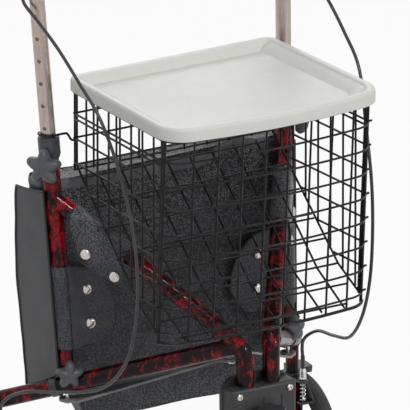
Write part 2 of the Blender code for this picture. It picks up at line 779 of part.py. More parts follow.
def make_brake(side, word):
    """Makes the brake arm with its shoe, the adjuster and the return spring."""
    x, y = leg_axis(side)
    axle_y = y + REAR_WHEEL_BEHIND_LEG
    inner = bracket_inner(side) + BRACKET_THICKNESS + GAP
    outer = REAR_WHEEL_X + TYRE_WIDTH / 2 - 0.001
    stop_y = y - CABLE_AHEAD_OF_LEG
    low = WHEEL_R + SHOE_GAP
    high = low + SHOE_DEPTH
    sector = arc((axle_y, WHEEL_R), low, SHOE_START, SHOE_END, 5)
    sector += list(reversed(arc((axle_y, WHEEL_R), high, SHOE_START, SHOE_END, 5)))
    mid = side * (inner + outer) / 2
    shoe = plate(sector, outer - inner, side_plane_at(mid))
    tab_z = SPRING_BOTTOM_Z
    outline = [(stop_y - 0.006, tab_z - 0.006), (stop_y + 0.006, tab_z - 0.006)]
    outline += [(y + 0.002, BRAKE_PIVOT_Z - 0.0075), (y + 0.008, BRAKE_PIVOT_Z - 0.004)]
    outline += [(axle_y + 0.006, WHEEL_R + low + 0.002), (axle_y + 0.006, WHEEL_R + high)]
    outline += [(axle_y - 0.012, WHEEL_R + high + 0.001), (y + 0.006, BRAKE_PIVOT_Z + 0.0085)]
    outline += [(y - 0.004, BRAKE_PIVOT_Z + 0.0075), (stop_y - 0.006, tab_z)]
    web = plate(outline, ARM_THICKNESS, side_plane_at(side * (inner + ARM_THICKNESS / 2)))
    ends = (side * (inner + 0.002), x - side * 0.006)
    tab = block((min(ends), stop_y - 0.006, tab_z - 0.0055),
                (max(ends), stop_y + 0.006, tab_z - 0.0025))
    arm = fuse(web, shoe, tab)
    pivot = rod((side * (inner - 0.01), y, BRAKE_PIVOT_Z), (side * (inner + 0.02), y, BRAKE_PIVOT_Z),
                0.0033, 12)
    slot_y = stop_y + TAB_SLOT_BACK
    wire_slot = block((x - TAB_SLOT_WIDTH / 2, slot_y - TAB_SLOT_LENGTH / 2, tab_z - 0.02),
                      (x + TAB_SLOT_WIDTH / 2, slot_y + TAB_SLOT_LENGTH / 2, tab_z + 0.02))
    arm = cut(arm, pivot, wire_slot)
    finish(arm, word + "_brake_arm", BLACK, (side * inner, y, BRAKE_PIVOT_Z))

    foot = ADJUSTER_Z
    place = Matrix.Translation((x, stop_y, 0))
    barrel = turned([(0.0, foot + ADJUSTER_HEIGHT), (0.0030, foot + ADJUSTER_HEIGHT),
                     (ADJUSTER_R, foot + ADJUSTER_HEIGHT - 0.003), (ADJUSTER_R, foot + 0.002),
                     (0.0042, foot), (0.0, foot)], 14, place)
    wire = rod((x, stop_y, tab_z - 0.0045), (x, stop_y, foot + 0.003), CABLE_WIRE_R, 8)
    finish(fuse(barrel, wire), word + "_adjuster", STEEL)

    turns = []
    top = ADJUSTER_Z - 0.0045 - GAP - SPRING_WIRE_R
    low_end = tab_z - 0.0025 + GAP + SPRING_WIRE_R
    count = SPRING_TURNS * 8
    for index in range(count + 1):
        angle = 2 * math.pi * index / 8
        share = index / count
        turns.append((x + SPRING_R * math.cos(angle), stop_y + SPRING_R * math.sin(angle),
                      low_end + (top - low_end) * share))
    finish(sweep(turns, SPRING_WIRE_R, 1), word + "_brake_spring", STEEL)


def make_collar(side, word):
    """Makes the plastic collar round the top of an upright."""
    centre = upright_at(side, COLLAR_Z)
    place = frame_along(centre, centre + upright_direction(side))
    half = COLLAR_HEIGHT / 2
    lip = UPRIGHT_TOP_Z - COLLAR_Z + 0.0010
    profile = [(HANDLE_R + GAP, half), (COLLAR_R - 0.0012, half), (COLLAR_R, half - 0.0015),
               (COLLAR_R, -half + 0.006), (COLLAR_R - 0.0018, -half), (FRAME_R + GAP, -half),
               (FRAME_R + GAP, lip), (HANDLE_R + GAP, lip)]
    collar = turned(profile, 16, place, closed=True)
    finish(collar, word + "_collar", GREY)


def handle_path(side):
    """Lists the corners of a handle tube: insert, bend and grip end."""
    foot = upright_at(side, COLLAR_Z - HANDLE_INSERT)
    bend = upright_at(side, GRIP_Z)
    back = Vector((side * math.sin(HANDLE_TOE_OUT), math.cos(HANDLE_TOE_OUT), 0.02)).normalized()
    return foot, bend, back


def make_handle(side, word):
    """Makes a handle tube with its grip and its brake lever."""
    foot, bend, back = handle_path(side)
    end = bend + back * (GRIP_START + GRIP_LENGTH - 0.004)
    path = rounded_path([foot, bend, end], [HANDLE_BEND_R], 6)
    tube = sweep(path, HANDLE_R, 5)
    holes = []
    for index in range(HOLE_COUNT):
        centre = upright_at(side, COLLAR_Z + FIRST_HOLE_ABOVE_COLLAR + index * HOLE_PITCH)
        way = outboard(side)
        holes.append(rod(centre - way * 0.02, centre + way * 0.02, HOLE_R, 8))
    tube = cut(tube, *holes)
    finish(tube, word + "_handle_tube", BRONZE)

    start = bend + back * GRIP_START
    place = frame_along(start, start + back)
    profile = [(HANDLE_R + GAP, 0.0), (GRIP_R + 0.004, 0.0), (GRIP_R + 0.004, 0.004)]
    for share in (0.08, 0.25, 0.42, 0.58, 0.75, 0.92):
        swell = 0.0012 * math.cos(2 * math.pi * share * 2)
        profile.append((GRIP_R + swell, GRIP_LENGTH * share))
    profile += [(GRIP_R - 0.003, GRIP_LENGTH), (0.0, GRIP_LENGTH), (0.0, GRIP_LENGTH - 0.0035),
                (HANDLE_R + GAP, GRIP_LENGTH - 0.0035)]
    grip = turned(profile, 16, place, closed=True)
    finish(grip, word + "_grip", BLACK)
    make_lever(side, word, bend, back)


def make_lever(side, word, bend, back):
    """Makes the brake housing on the handle and the looped lever under the grip."""
    start = bend + back * 0.046
    end = bend + back * (GRIP_START - 0.002)
    down = Vector((0, 0, -1))
    down = (down - down.dot(back) * back).normalized()
    across = back.cross(down)
    clamp = rod(start, end, HANDLE_R + 0.0055, 22)
    horn_low = start + down * 0.034
    horn = rod((start + end) / 2 + down * 0.013, horn_low + back * 0.0062 + down * 0.0007, 0.0072, 14)
    stop = rod(horn_low - back * 0.0100, horn_low + back * 0.0020, 0.0046, 11)
    housing = fuse(clamp, horn, stop)
    bore = rod(start - back * 0.02, end + back * 0.02, HANDLE_R + GAP, 20)
    slot_centre = horn_low + back * 0.0070 + down * 0.0043
    slot = rod(slot_centre - across * 0.0047, slot_centre + across * 0.0047, 0.0087, 17)
    housing = cut(housing, bore, slot)
    finish(housing, word + "_brake_housing", BLACK)

    pivot = slot_centre
    reach = GRIP_START + GRIP_LENGTH - 0.046 - 0.012
    eye = pivot + back * 0.004
    loop = [eye, pivot + back * 0.018 + down * 0.002, pivot + back * 0.035 + down * 0.010,
            pivot + back * (reach - 0.010) + down * 0.014, pivot + back * reach + down * 0.004]
    blade = sweep(smooth_path(loop, 12), LEVER_R, 2)
    boss = rod(pivot - across * 0.0040, pivot + across * 0.0040, 0.0075, 14)
    lever = fuse(blade, boss)
    finish(lever, word + "_brake_lever", BLACK, pivot)


def cable_points(side):
    """Lists the chosen points of a brake cable, from the lever to the adjuster."""
    foot, bend, back = handle_path(side)
    start = bend + back * 0.046
    mouth = start + Vector((0, 0, -0.034)) - back * 0.0105
    x, y = leg_axis(side)
    top = ADJUSTER_Z + ADJUSTER_HEIGHT + GAP
    chosen = [mouth, mouth - back * 0.010 + Vector((side * 0.001, 0, -0.001)),
              (side * 0.2245, 0.094, 0.862), (side * 0.2260, 0.052, 0.846),
              (side * 0.2245, 0.002, 0.820),
              (side * 0.2215, -0.050, 0.783), (side * 0.2165, -0.098, 0.742),
              (side * 0.2060, -0.1330, 0.669), (side * 0.2000, -0.1580, 0.590),
              (side * 0.1970, -0.1655, 0.513), (side * 0.1970, -0.1580, 0.441),
              (side * 0.2000, -0.1330, 0.380), (side * 0.2100, -0.0850, 0.334),
              (side * 0.2300, -0.0100, 0.310), (side * 0.2480, 0.0620, 0.292),
              (side * abs(x) + side * 0.0, y - CABLE_AHEAD_OF_LEG - 0.001, 0.262),
              (x, y - CABLE_AHEAD_OF_LEG, top + 0.012), (x, y - CABLE_AHEAD_OF_LEG, top)]
    return chosen


def make_cable(side, word):
    """Makes a brake cable along its whole route."""
    path = smooth_path(cable_points(side), CABLE_POINTS)
    finish(sweep(path, CABLE_R, 2), word + "_brake_cable", BLACK)


def link_ends(side):
    """Returns the outer and middle pivots of a spreader link."""
    seat = upright_at(side, LOWER_UPRIGHT_Z)
    outer = Vector((seat.x + side * 0.003, seat.y, LINK_OUTER_Z))
    ahead = math.sqrt(LINK_REACH ** 2 - outer.x ** 2)
    return outer, Vector((0, outer.y - ahead, LINK_MIDDLE_Z))


def make_link(side, word):
    """Makes one of the two links that spread the side frames."""
    outer, middle = link_ends(side)
    level = Vector((middle.x - outer.x, middle.y - outer.y, 0)).normalized()
    across = Vector((-level.y, level.x, 0))
    half = LINK_THICKNESS / 2
    lift = 0.0 if side < 0 else LINK_THICKNESS + LINK_SPACER
    stations = [(-0.012, 0.0), (0.016, 0.0), (LINK_REACH - 0.018, 1.0), (LINK_REACH + 0.012, 1.0)]
    work = bmesh.new()
    rings = []
    for distance, share in stations:
        centre = outer + level * distance
        centre.z = outer.z + (middle.z + lift - outer.z) * share
        ring = []
        for dw, dz in ((-1, -1), (1, -1), (1, 1), (-1, 1)):
            ring.append(work.verts.new(centre + across * dw * LINK_WIDTH / 2 + Vector((0, 0, dz * half))))
        rings.append(ring)
    for lower, upper in zip(rings, rings[1:]):
        for index in range(4):
            after = (index + 1) % 4
            work.faces.new((lower[index], lower[after], upper[after], upper[index]))
    work.faces.new(rings[0])
    work.faces.new(rings[-1])
    link = mesh_object("link", work)
    hole = rod(outer - Vector((0, 0, 0.02)), outer + Vector((0, 0, 0.02)), LINK_PIN_R + GAP, 12)
    link = cut(link, hole)
    if side < 0:
        head = rod(middle - Vector((0, 0, half + 0.004)), middle - Vector((0, 0, half - 0.001)), 0.0065, 12)
    else:
        top = middle + Vector((0, 0, lift + half))
        low = middle + Vector((0, 0, half + GAP))
        head = rod(low, top + Vector((0, 0, 0.004)), 0.0065, 12)
    finish(fuse(link, head), word + "_spreader_link", GREY, outer)


def link_pin(side):
    """Returns the pin under a lower tube that its spreader link turns on."""
    outer = link_ends(side)[0]
    top = lower_tube_at(side, 0).z - FRAME_R * 0.6
    under = outer.z - LINK_THICKNESS / 2 - GAP
    shank = rod((outer.x, outer.y, under - 0.001), (outer.x, outer.y, top), LINK_PIN_R, 12)
    head = rod((outer.x, outer.y, under - 0.004), (outer.x, outer.y, under), 0.0065, 12)
    return fuse(shank, head)


def basket_half_width(y):
    """Returns the basket's half width at a distance along it."""
    share = (BASKET_BACK_Y - y) / (BASKET_BACK_Y - BASKET_POST_Y)
    return BASKET_BACK_HALF + (BASKET_FRONT_HALF - BASKET_BACK_HALF) * share


def basket_levels():
    """Lists the heights of the level wires, from the first below the rim."""
    levels = []
    height = BASKET_TOP_Z - BASKET_FIRST_DROP
    while height > BASKET_BOTTOM_Z + BASKET_PITCH * 0.35:
        levels.append(height)
        height -= BASKET_PITCH
    return levels


def lean_back(height):
    """Returns how far the front wall has leant back at a height."""
    return (BASKET_TOP_Z - height) * BASKET_FRONT_LEAN


def basket_rear_y(height):
    """Returns how far back the basket reaches at a height."""
    if height >= BASKET_BACK_KNEE_Z:
        return BASKET_BACK_Y
    if height >= BASKET_FLOOR_KNEE_Z:
        share = (BASKET_BACK_KNEE_Z - height) / (BASKET_BACK_KNEE_Z - BASKET_FLOOR_KNEE_Z)
        return BASKET_BACK_Y + (BASKET_FLOOR_KNEE_Y - BASKET_BACK_Y) * share
    share = (BASKET_FLOOR_KNEE_Z - height) / (BASKET_FLOOR_KNEE_Z - BASKET_BOTTOM_Z)
    return BASKET_FLOOR_KNEE_Y + (BASKET_POST_Y - BASKET_FLOOR_KNEE_Y) * share


def basket_floor_z(y):
    """Returns the height of the basket's slanted back and floor at a place."""
    if y >= BASKET_FLOOR_KNEE_Y:
        share = (BASKET_BACK_Y - y) / (BASKET_BACK_Y - BASKET_FLOOR_KNEE_Y)
        return BASKET_BACK_KNEE_Z + (BASKET_FLOOR_KNEE_Z - BASKET_BACK_KNEE_Z) * share
    share = (BASKET_FLOOR_KNEE_Y - y) / (BASKET_FLOOR_KNEE_Y - BASKET_POST_Y)
    return BASKET_FLOOR_KNEE_Z + (BASKET_BOTTOM_Z - BASKET_FLOOR_KNEE_Z) * share


def hoop(height, inset=0.0):
    """Lists the points of a wire round the front from one front post to the other."""
    back = lean_back(height)
    right = []
    across = BASKET_FRONT_HALF - FRONT_CORNER_X
    ahead = BASKET_FRONT_Y - BASKET_POST_Y
    for step in range(4):
        angle = math.radians(90 * step / 4)
        right.append((FRONT_CORNER_X + (across - inset) * math.cos(angle),
                      BASKET_POST_Y + (ahead + inset) * math.sin(angle) + back))
    for step in range(4):
        x = FRONT_CORNER_X * (1 - step / 3)
        bow = BASKET_BOW * (1 - (x / FRONT_CORNER_X) ** 2)
        right.append((x, BASKET_FRONT_Y - bow + inset + back))
    left = [(-x, y) for x, y in reversed(right[:-1])]
    return [Vector((x, y, height)) for x, y in right + left]


def front_wire_x():
    """Lists the places of the upright wires across the front."""
    pitch = 2 * FRONT_CORNER_X / (FRONT_WIRES - 1)
    return [-FRONT_CORNER_X + pitch * index for index in range(FRONT_WIRES)]


def weave(name, first, second):
    """Fuses two layers of wires that cross and bite into each other."""
    grille = fuse(collect("first", first, WIRE), collect("second", second, WIRE))
    return finish(grille, name, WIRE)


def make_basket_front():
    """Makes the front wall with its rounded corners and front posts."""
    bite = WIRE_BITE
    level = [sweep(hoop(height), FRAME_WIRE_R, WIRE_FACETS) for height in (BASKET_TOP_Z, BASKET_BOTTOM_Z)]
    level += [sweep(hoop(height), WIRE_R, WIRE_FACETS) for height in basket_levels()]
    standing = []
    for x in front_wire_x():
        bow = BASKET_BOW * (1 - (x / FRONT_CORNER_X) ** 2)
        ends = []
        for height in (BASKET_TOP_Z + FRAME_WIRE_R * 0.5, BASKET_BOTTOM_Z - FRAME_WIRE_R * 0.5):
            ends.append(Vector((x, BASKET_FRONT_Y - bow + bite + lean_back(height), height)))
        standing.append(sweep(ends, WIRE_R, WIRE_FACETS))
    for side in (-1, 1):
        ends = []
        for height in (BASKET_TOP_Z + FRAME_WIRE_R * 0.5, BASKET_BOTTOM_Z - FRAME_WIRE_R * 0.5):
            ends.append(Vector((side * (BASKET_FRONT_HALF - bite), BASKET_POST_Y + lean_back(height),
                                height)))
        standing.append(sweep(ends, FRAME_WIRE_R, WIRE_FACETS))
    weave("basket_front", standing, level)


def side_point(side, y, height, inset=0.0):
    """Returns a point in a side wall of the basket."""
    return Vector((side * (basket_half_width(y) - inset), y, height))


def make_basket_side(side, word):
    """Makes one side wall."""
    bite = WIRE_BITE
    clear = FRAME_WIRE_R * 2 + GAP
    ahead_top = BASKET_POST_Y + clear
    behind = BASKET_BACK_Y - clear
    level = [sweep([side_point(side, ahead_top, BASKET_TOP_Z), side_point(side, behind, BASKET_TOP_Z)],
                   FRAME_WIRE_R, WIRE_FACETS)]
    for height in basket_levels():
        ahead = BASKET_POST_Y + clear + lean_back(height)
        rear = min(basket_rear_y(height), behind)
        level.append(sweep([side_point(side, ahead, height), side_point(side, rear, height)],
                           WIRE_R, WIRE_FACETS))
    level.append(sweep([side_point(side, ahead_top, BASKET_TOP_Z - DOUBLE_WIRE_DROP - BASKET_FIRST_DROP),
                        side_point(side, behind, BASKET_TOP_Z - DOUBLE_WIRE_DROP - BASKET_FIRST_DROP)],
                       WIRE_R, WIRE_FACETS))
    standing = []
    pitch = (BASKET_BACK_Y - BASKET_POST_Y) / SIDE_CELLS
    for index in range(1, SIDE_CELLS):
        y = BASKET_BACK_Y - pitch * index
        foot = basket_floor_z(y) + FRAME_WIRE_R + WIRE_R + 0.002
        standing.append(sweep([side_point(side, y, BASKET_TOP_Z + FRAME_WIRE_R * 0.5, bite),
                               side_point(side, y, foot, bite)], WIRE_R, WIRE_FACETS))
    low_y = BASKET_POST_Y + clear + lean_back(BASKET_BOTTOM_Z)
    edge = [side_point(side, behind, BASKET_TOP_Z + FRAME_WIRE_R * 0.5, bite),
            side_point(side, behind, BASKET_BACK_KNEE_Z, bite),
            side_point(side, BASKET_FLOOR_KNEE_Y, BASKET_FLOOR_KNEE_Z, bite),
            side_point(side, low_y, basket_floor_z(low_y), bite)]
    standing.append(sweep(edge, FRAME_WIRE_R, WIRE_FACETS))
    weave("basket_" + word + "_side", standing, level)


def make_basket_back():
    """Makes the upright part of the back wall."""
    bite = WIRE_BITE
    half = BASKET_BACK_HALF
    level = []
    heights = [height for height in basket_levels() if height > BASKET_BACK_KNEE_Z + 0.010]
    for height, radius in [(BASKET_TOP_Z, FRAME_WIRE_R)] + [(height, WIRE_R) for height in heights]:
        level.append(sweep([Vector((-half, BASKET_BACK_Y, height)), Vector((half, BASKET_BACK_Y, height))],
                           radius, WIRE_FACETS))
    for height in (BASKET_BACK_KNEE_Z, BASKET_BACK_KNEE_Z - DOUBLE_WIRE_DROP):
        level.append(sweep([Vector((-half, BASKET_BACK_Y, height)), Vector((half, BASKET_BACK_Y, height))],
                           WIRE_R, WIRE_FACETS))
    standing = []
    low = BASKET_BACK_KNEE_Z - DOUBLE_WIRE_DROP - WIRE_R * 0.5
    for x in front_wire_x():
        standing.append(sweep([Vector((x, BASKET_BACK_Y - bite, BASKET_TOP_Z + FRAME_WIRE_R * 0.5)),
                               Vector((x, BASKET_BACK_Y - bite, low))], WIRE_R, WIRE_FACETS))
    for side in (-1, 1):
        x = side * (half - FRAME_WIRE_R)
        standing.append(sweep([Vector((x, BASKET_BACK_Y + bite, BASKET_TOP_Z + FRAME_WIRE_R * 0.5)),
                               Vector((x, BASKET_BACK_Y + bite, low))], FRAME_WIRE_R, WIRE_FACETS))
    weave("basket_back", standing, level)


def make_basket_floor():
    """Makes the slanted rear wall and the short floor in one grille."""
    start_z = BASKET_BACK_KNEE_Z - DOUBLE_WIRE_DROP - WIRE_R - FRAME_WIRE_R - 0.004
    start_y = basket_rear_y(start_z)
    end_y = BASKET_FRONT_Y + lean_back(BASKET_BOTTOM_Z) + FRAME_WIRE_R + WIRE_R + 0.004
    end_z = basket_floor_z(end_y)
    bite = WIRE_BITE
    standing = []
    for x in front_wire_x():
        near = end_y
        standing.append(sweep([Vector((x, start_y + 0.004, start_z + 0.0035 - bite)),
                               Vector((x, BASKET_FLOOR_KNEE_Y, BASKET_FLOOR_KNEE_Z - bite)),
                               Vector((x, near, basket_floor_z(near) - bite))], WIRE_R, WIRE_FACETS))
    level = []
    slope = Vector((0, BASKET_FLOOR_KNEE_Y - start_y, BASKET_FLOOR_KNEE_Z - start_z))
    count = int(slope.length / BASKET_PITCH)
    for index in range(count + 1):
        point = Vector((0, start_y, start_z)) + slope * (index / count)
        half = basket_half_width(point.y) - WIRE_BITE - FRAME_WIRE_R - GAP
        level.append(sweep([Vector((-half, point.y, point.z)), Vector((half, point.y, point.z))],
                           WIRE_R, WIRE_FACETS))
    for share in (0.5, 0.95):
        y = BASKET_FLOOR_KNEE_Y + (end_y - BASKET_FLOOR_KNEE_Y) * share
        half = basket_half_width(BASKET_POST_Y) - 0.012 if share < 0.9 else FRONT_CORNER_X + 0.006
        z = BASKET_FLOOR_KNEE_Z + (end_z - BASKET_FLOOR_KNEE_Z) * share
        level.append(sweep([Vector((-half, y, z)), Vector((half, y, z))], WIRE_R, WIRE_FACETS))
    weave("basket_floor", standing, level)


def make_hook(side, word):
    """Makes the wire hook that hangs the basket on a handle tube."""
    height = COLLAR_Z + COLLAR_HEIGHT / 2 + HOOK_ABOVE_COLLAR
    centre = upright_at(side, height)
    reach = HANDLE_R + 0.0008 + HOOK_WIRE_R
    points = [Vector((side * (BASKET_BACK_HALF + GAP), BASKET_BACK_Y + WIRE_BITE, height))]
    for angle in range(-110, 51, 16):
        turn = math.radians(angle)
        points.append(centre + Vector((side * reach * math.cos(turn), reach * math.sin(turn), 0)))
    finish(sweep(points, HOOK_WIRE_R, 2), word + "_basket_hook", WIRE)


def tray_outline(inset):
    """Lists the tray's outline, drawn in by a distance."""
    back = TRAY_BACK_Y - inset
    front = TRAY_FRONT_Y + inset
    slope = (TRAY_FRONT_HALF - TRAY_BACK_HALF) / (TRAY_BACK_Y - TRAY_FRONT_Y)
    half = []
    radius = TRAY_BACK_CORNER_R - inset * 0.6
    for step in range(6):
        angle = math.radians(90 - 18 * step)
        y = back - radius + radius * math.sin(angle)
        x = TRAY_BACK_HALF - inset + slope * (TRAY_BACK_Y - y) - radius + radius * math.cos(angle)
        half.append((x, y))
    radius = TRAY_FRONT_CORNER_R - inset * 0.6
    for step in range(8):
        angle = math.radians(-90 * step / 7)
        y = front + radius + radius * math.sin(angle)
        x = TRAY_BACK_HALF - inset + slope * (TRAY_BACK_Y - y) - radius + radius * math.cos(angle)
        half.append((x, y))
    edge = half[-1][0]
    for step in range(1, 4):
        x = edge * (1 - step / 4)
        half.append((x, front - TRAY_BOW * (1 - (x / edge) ** 2)))
    tip = [(0.0, front - TRAY_BOW)]
    return half + tip + [(-x, y) for x, y in reversed(half)]


def make_tray():
    """Makes the lift-off tray with its rim, skirt, recess and feet."""
    top = TRAY_TOP_Z
    levels = [(0.0, top - TRAY_SKIRT), (0.0, top - 0.004), (0.0015, top - 0.001), (0.0040, top),
              (TRAY_RIM, top), (TRAY_RIM + 0.003, top - 0.002),
              (TRAY_RIM + TRAY_SLOPE, top - TRAY_RECESS)]
    under = [(TRAY_RIM + TRAY_SLOPE, top - TRAY_RECESS - TRAY_WALL),
             (TRAY_RIM + 0.001, top - 0.0035 - TRAY_WALL), (TRAY_WALL + 0.003, top - TRAY_WALL),
             (TRAY_WALL, top - 0.004 - TRAY_WALL), (TRAY_WALL, top - TRAY_SKIRT)]
    work = bmesh.new()
    rings = []
    for inset, height in levels + under:
        rings.append([work.verts.new((x, y, height)) for x, y in tray_outline(inset)])
    total = len(rings[0])
    pairs = list(zip(rings[:len(levels)], rings[1:len(levels)])) + list(zip(rings[len(levels):],
                                                                            rings[len(levels) + 1:]))
    pairs.append((rings[-1], rings[0]))
    for lower, upper in pairs:
        for index in range(total):
            after = (index + 1) % total
            work.faces.new((lower[index], lower[after], upper[after], upper[index]))
    work.faces.new(rings[len(levels) - 1])
    work.faces.new(rings[len(levels)])
    tray = mesh_object("tray", work)
    feet = []
    rest = BASKET_TOP_Z + FRAME_WIRE_R + GAP
    for side in (-1, 1):
        for y in (-0.030, -0.120):
            x = basket_half_width(y)
            feet.append(block((side * x - 0.004, y - 0.006, rest),
                              (side * x + 0.004, y + 0.006, top - 0.0015)))
    finish(fuse(tray, *feet), "tray", TRAY)


def pouch_front_y(height):
    """Returns where the pouch's front face lies, just behind the uprights."""
    return upright_at(1, height).y + POUCH_BEHIND


def make_pouch():
    """Makes the vinyl pouch that hangs between the uprights."""
    stations = [(POUCH_TOP_Z, POUCH_HALF_TOP, 0.60), (0.560, POUCH_HALF_TOP, 0.90),
                (0.470, POUCH_HALF_TOP - 0.004, 1.0),
                (0.380, POUCH_HALF_TOP - 0.008, 1.0), (POUCH_WAIST_Z, POUCH_HALF_TOP - 0.012, 0.95),
                (0.270, POUCH_HALF_BOTTOM, 0.70), (POUCH_BOTTOM_Z, POUCH_HALF_BOTTOM - 0.030, 0.25)]
    work = bmesh.new()
    rings = []
    for height, half, swell in stations:
        front = pouch_front_y(height)
        depth = POUCH_DEPTH * swell
        ring = []
        for share_x, share_y in ((-1.0, 0.0), (-0.5, 0.0), (0.0, 0.0), (0.5, 0.0), (1.0, 0.0),
                                 (1.0, 0.55), (0.93, 0.85), (0.5, 1.0), (0.0, 1.04), (-0.5, 1.0),
                                 (-0.93, 0.85), (-1.0, 0.55)):
            ring.append(work.verts.new((share_x * half, front + share_y * depth, height)))
        rings.append(ring)
    total = len(rings[0])
    for lower, upper in zip(rings, rings[1:]):
        for index in range(total):
            after = (index + 1) % total
            work.faces.new((lower[index], lower[after], upper[after], upper[index]))
    work.faces.new(rings[0])
    work.faces.new(rings[-1])
    finish(mesh_object("pouch", work), "pouch", VINYL)


def make_flap(side, word, low, high, place):
    """Makes a vinyl flap that wraps an upright from the pouch."""
    outer_r = FRAME_R + GAP + FLAP_THICKNESS
    shell = rod(upright_at(side, low), upright_at(side, high), outer_r, 18)
    core = rod(upright_at(side, low - 0.02), upright_at(side, high + 0.02), FRAME_R + GAP, 18)
    middle = upright_at(side, (low + high) / 2)
    back = block((middle.x - 0.05, 0.0, -0.2), (middle.x + 0.05, 0.1, 0.2))
    lean = math.atan(LEAN_BACK)
    back.data.transform(Matrix.Translation((0, middle.y + FLAP_BACK_CUT, middle.z)) @
                        Matrix.Rotation(-lean, 4, "X"))
    finish(cut(shell, core, back), word + "_" + place + "_flap", VINYL)


def main():
    """Builds the walker."""
    make_head()
    make_fork()
    make_front_wheel()
    for side, word in ((-1, "right"), (1, "left")):
        make_side_frame(side, word)
        make_rear_wheel(side, word)
        make_brake(side, word)
        make_link(side, word)
        make_collar(side, word)
        star_knob(upright_at(side, HEIGHT_KNOB_Z), outboard(side), HEIGHT_KNOB_FACE, KNOB_R,
                  word + "_height_knob")
        star_knob(upright_at(side, FRAME_KNOB_Z), frame_knob_way(side), FRAME_KNOB_FACE, FRAME_KNOB_R,
                  word + "_frame_knob")
        make_handle(side, word)
        make_cable(side, word)
        make_basket_side(side, word)
        make_hook(side, word)
        make_flap(side, word, 0.345, 0.415, "lower")
        make_flap(side, word, 0.470, 0.540, "upper")
    make_basket_front()
    make_basket_back()
    make_basket_floor()
    make_tray()
    make_pouch()


main()
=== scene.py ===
"""Finished look of a three-wheel folding rollator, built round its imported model.

Metres, +Z up, the front wheel towards -Y. The user stands at +Y, so the user's left is +X.
"""

import logging
from dataclasses import dataclass, replace
from enum import Enum
from math import atan2, copysign, cos, exp, hypot, inf, pi, radians, sin, sqrt, tan
from typing import Any, Callable, Optional, Sequence, Union

import bmesh
import bpy
from mathutils import Matrix, Vector, noise

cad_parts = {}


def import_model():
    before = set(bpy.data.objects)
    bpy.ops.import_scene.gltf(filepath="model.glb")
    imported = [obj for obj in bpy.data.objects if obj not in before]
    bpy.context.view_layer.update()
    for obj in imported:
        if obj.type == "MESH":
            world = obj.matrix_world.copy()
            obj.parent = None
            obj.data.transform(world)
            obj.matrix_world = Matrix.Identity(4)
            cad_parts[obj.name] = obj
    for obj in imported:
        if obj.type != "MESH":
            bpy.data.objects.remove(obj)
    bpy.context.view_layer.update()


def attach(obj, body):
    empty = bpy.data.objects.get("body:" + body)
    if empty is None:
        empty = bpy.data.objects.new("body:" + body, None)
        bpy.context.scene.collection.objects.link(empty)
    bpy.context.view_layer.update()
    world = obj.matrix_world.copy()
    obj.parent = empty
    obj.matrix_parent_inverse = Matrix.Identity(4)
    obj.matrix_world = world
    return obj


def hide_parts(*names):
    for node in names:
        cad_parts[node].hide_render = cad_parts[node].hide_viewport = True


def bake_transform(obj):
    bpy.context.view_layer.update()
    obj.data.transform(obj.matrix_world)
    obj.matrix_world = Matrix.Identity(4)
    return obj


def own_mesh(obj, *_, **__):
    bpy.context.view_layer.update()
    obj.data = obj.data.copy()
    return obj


LOG = logging.getLogger("rollator")
SHARP_DEGREES = 38
SHEET_WALL = 0.0016
UP = Vector((0, 0, 1))
ASKEW = Vector((0.31, 0.17, 0.93))
Points = Sequence[Union[Vector, Sequence[float]]]
Pairs = list[tuple[float, float]]
Colour = tuple[float, float, float]


class Side(Enum):
    """The two sides of the walker, as its user has them."""

    RIGHT = -1
    LEFT = 1

    def __call__(self, tail: str) -> str:
        """Returns a name on this side."""
        return f"{self.name.lower()}_{tail}"


class Slot(Enum):
    """Material slots of the record."""

    FRAME = "red_frame"
    BLACK = "black_part"
    GREY = "grey_part"
    HANDLE = "handle_metal"
    STEEL = "steel"
    TYRE = "tyre"
    WIRE = "wire"
    TRAY = "tray"
    VINYL = "vinyl"


def joined(operation: str, swapped: bool = False) -> Callable[["Signal", Any], "Signal"]:
    """Returns a method that joins a signal and another value by a Math node."""

    def method(self: "Signal", other: Any) -> "Signal":
        """Adds the node and returns its output."""
        terms = (other, self) if swapped else (self, other)
        return self.sheet.signal("ShaderNodeMath", 0, dict(enumerate(terms)), operation=operation)
    return method


@dataclass
class Signal:
    """An output socket of a shader node that takes part in Python arithmetic."""

    sheet: "ShaderSheet"
    socket: bpy.types.NodeSocket
    __add__ = joined("ADD")
    __sub__ = joined("SUBTRACT")
    __rsub__ = joined("SUBTRACT", True)
    __mul__ = joined("MULTIPLY")
    smallest = joined("MINIMUM")

    def rise(self, low: float, high: float) -> "Signal":
        """Goes smoothly from 0 at low to 1 at high."""
        return self.sheet.signal("ShaderNodeMapRange", "Result", {"Value": self, "From Min": low, "From Max": high},
                                 interpolation_type="SMOOTHSTEP")


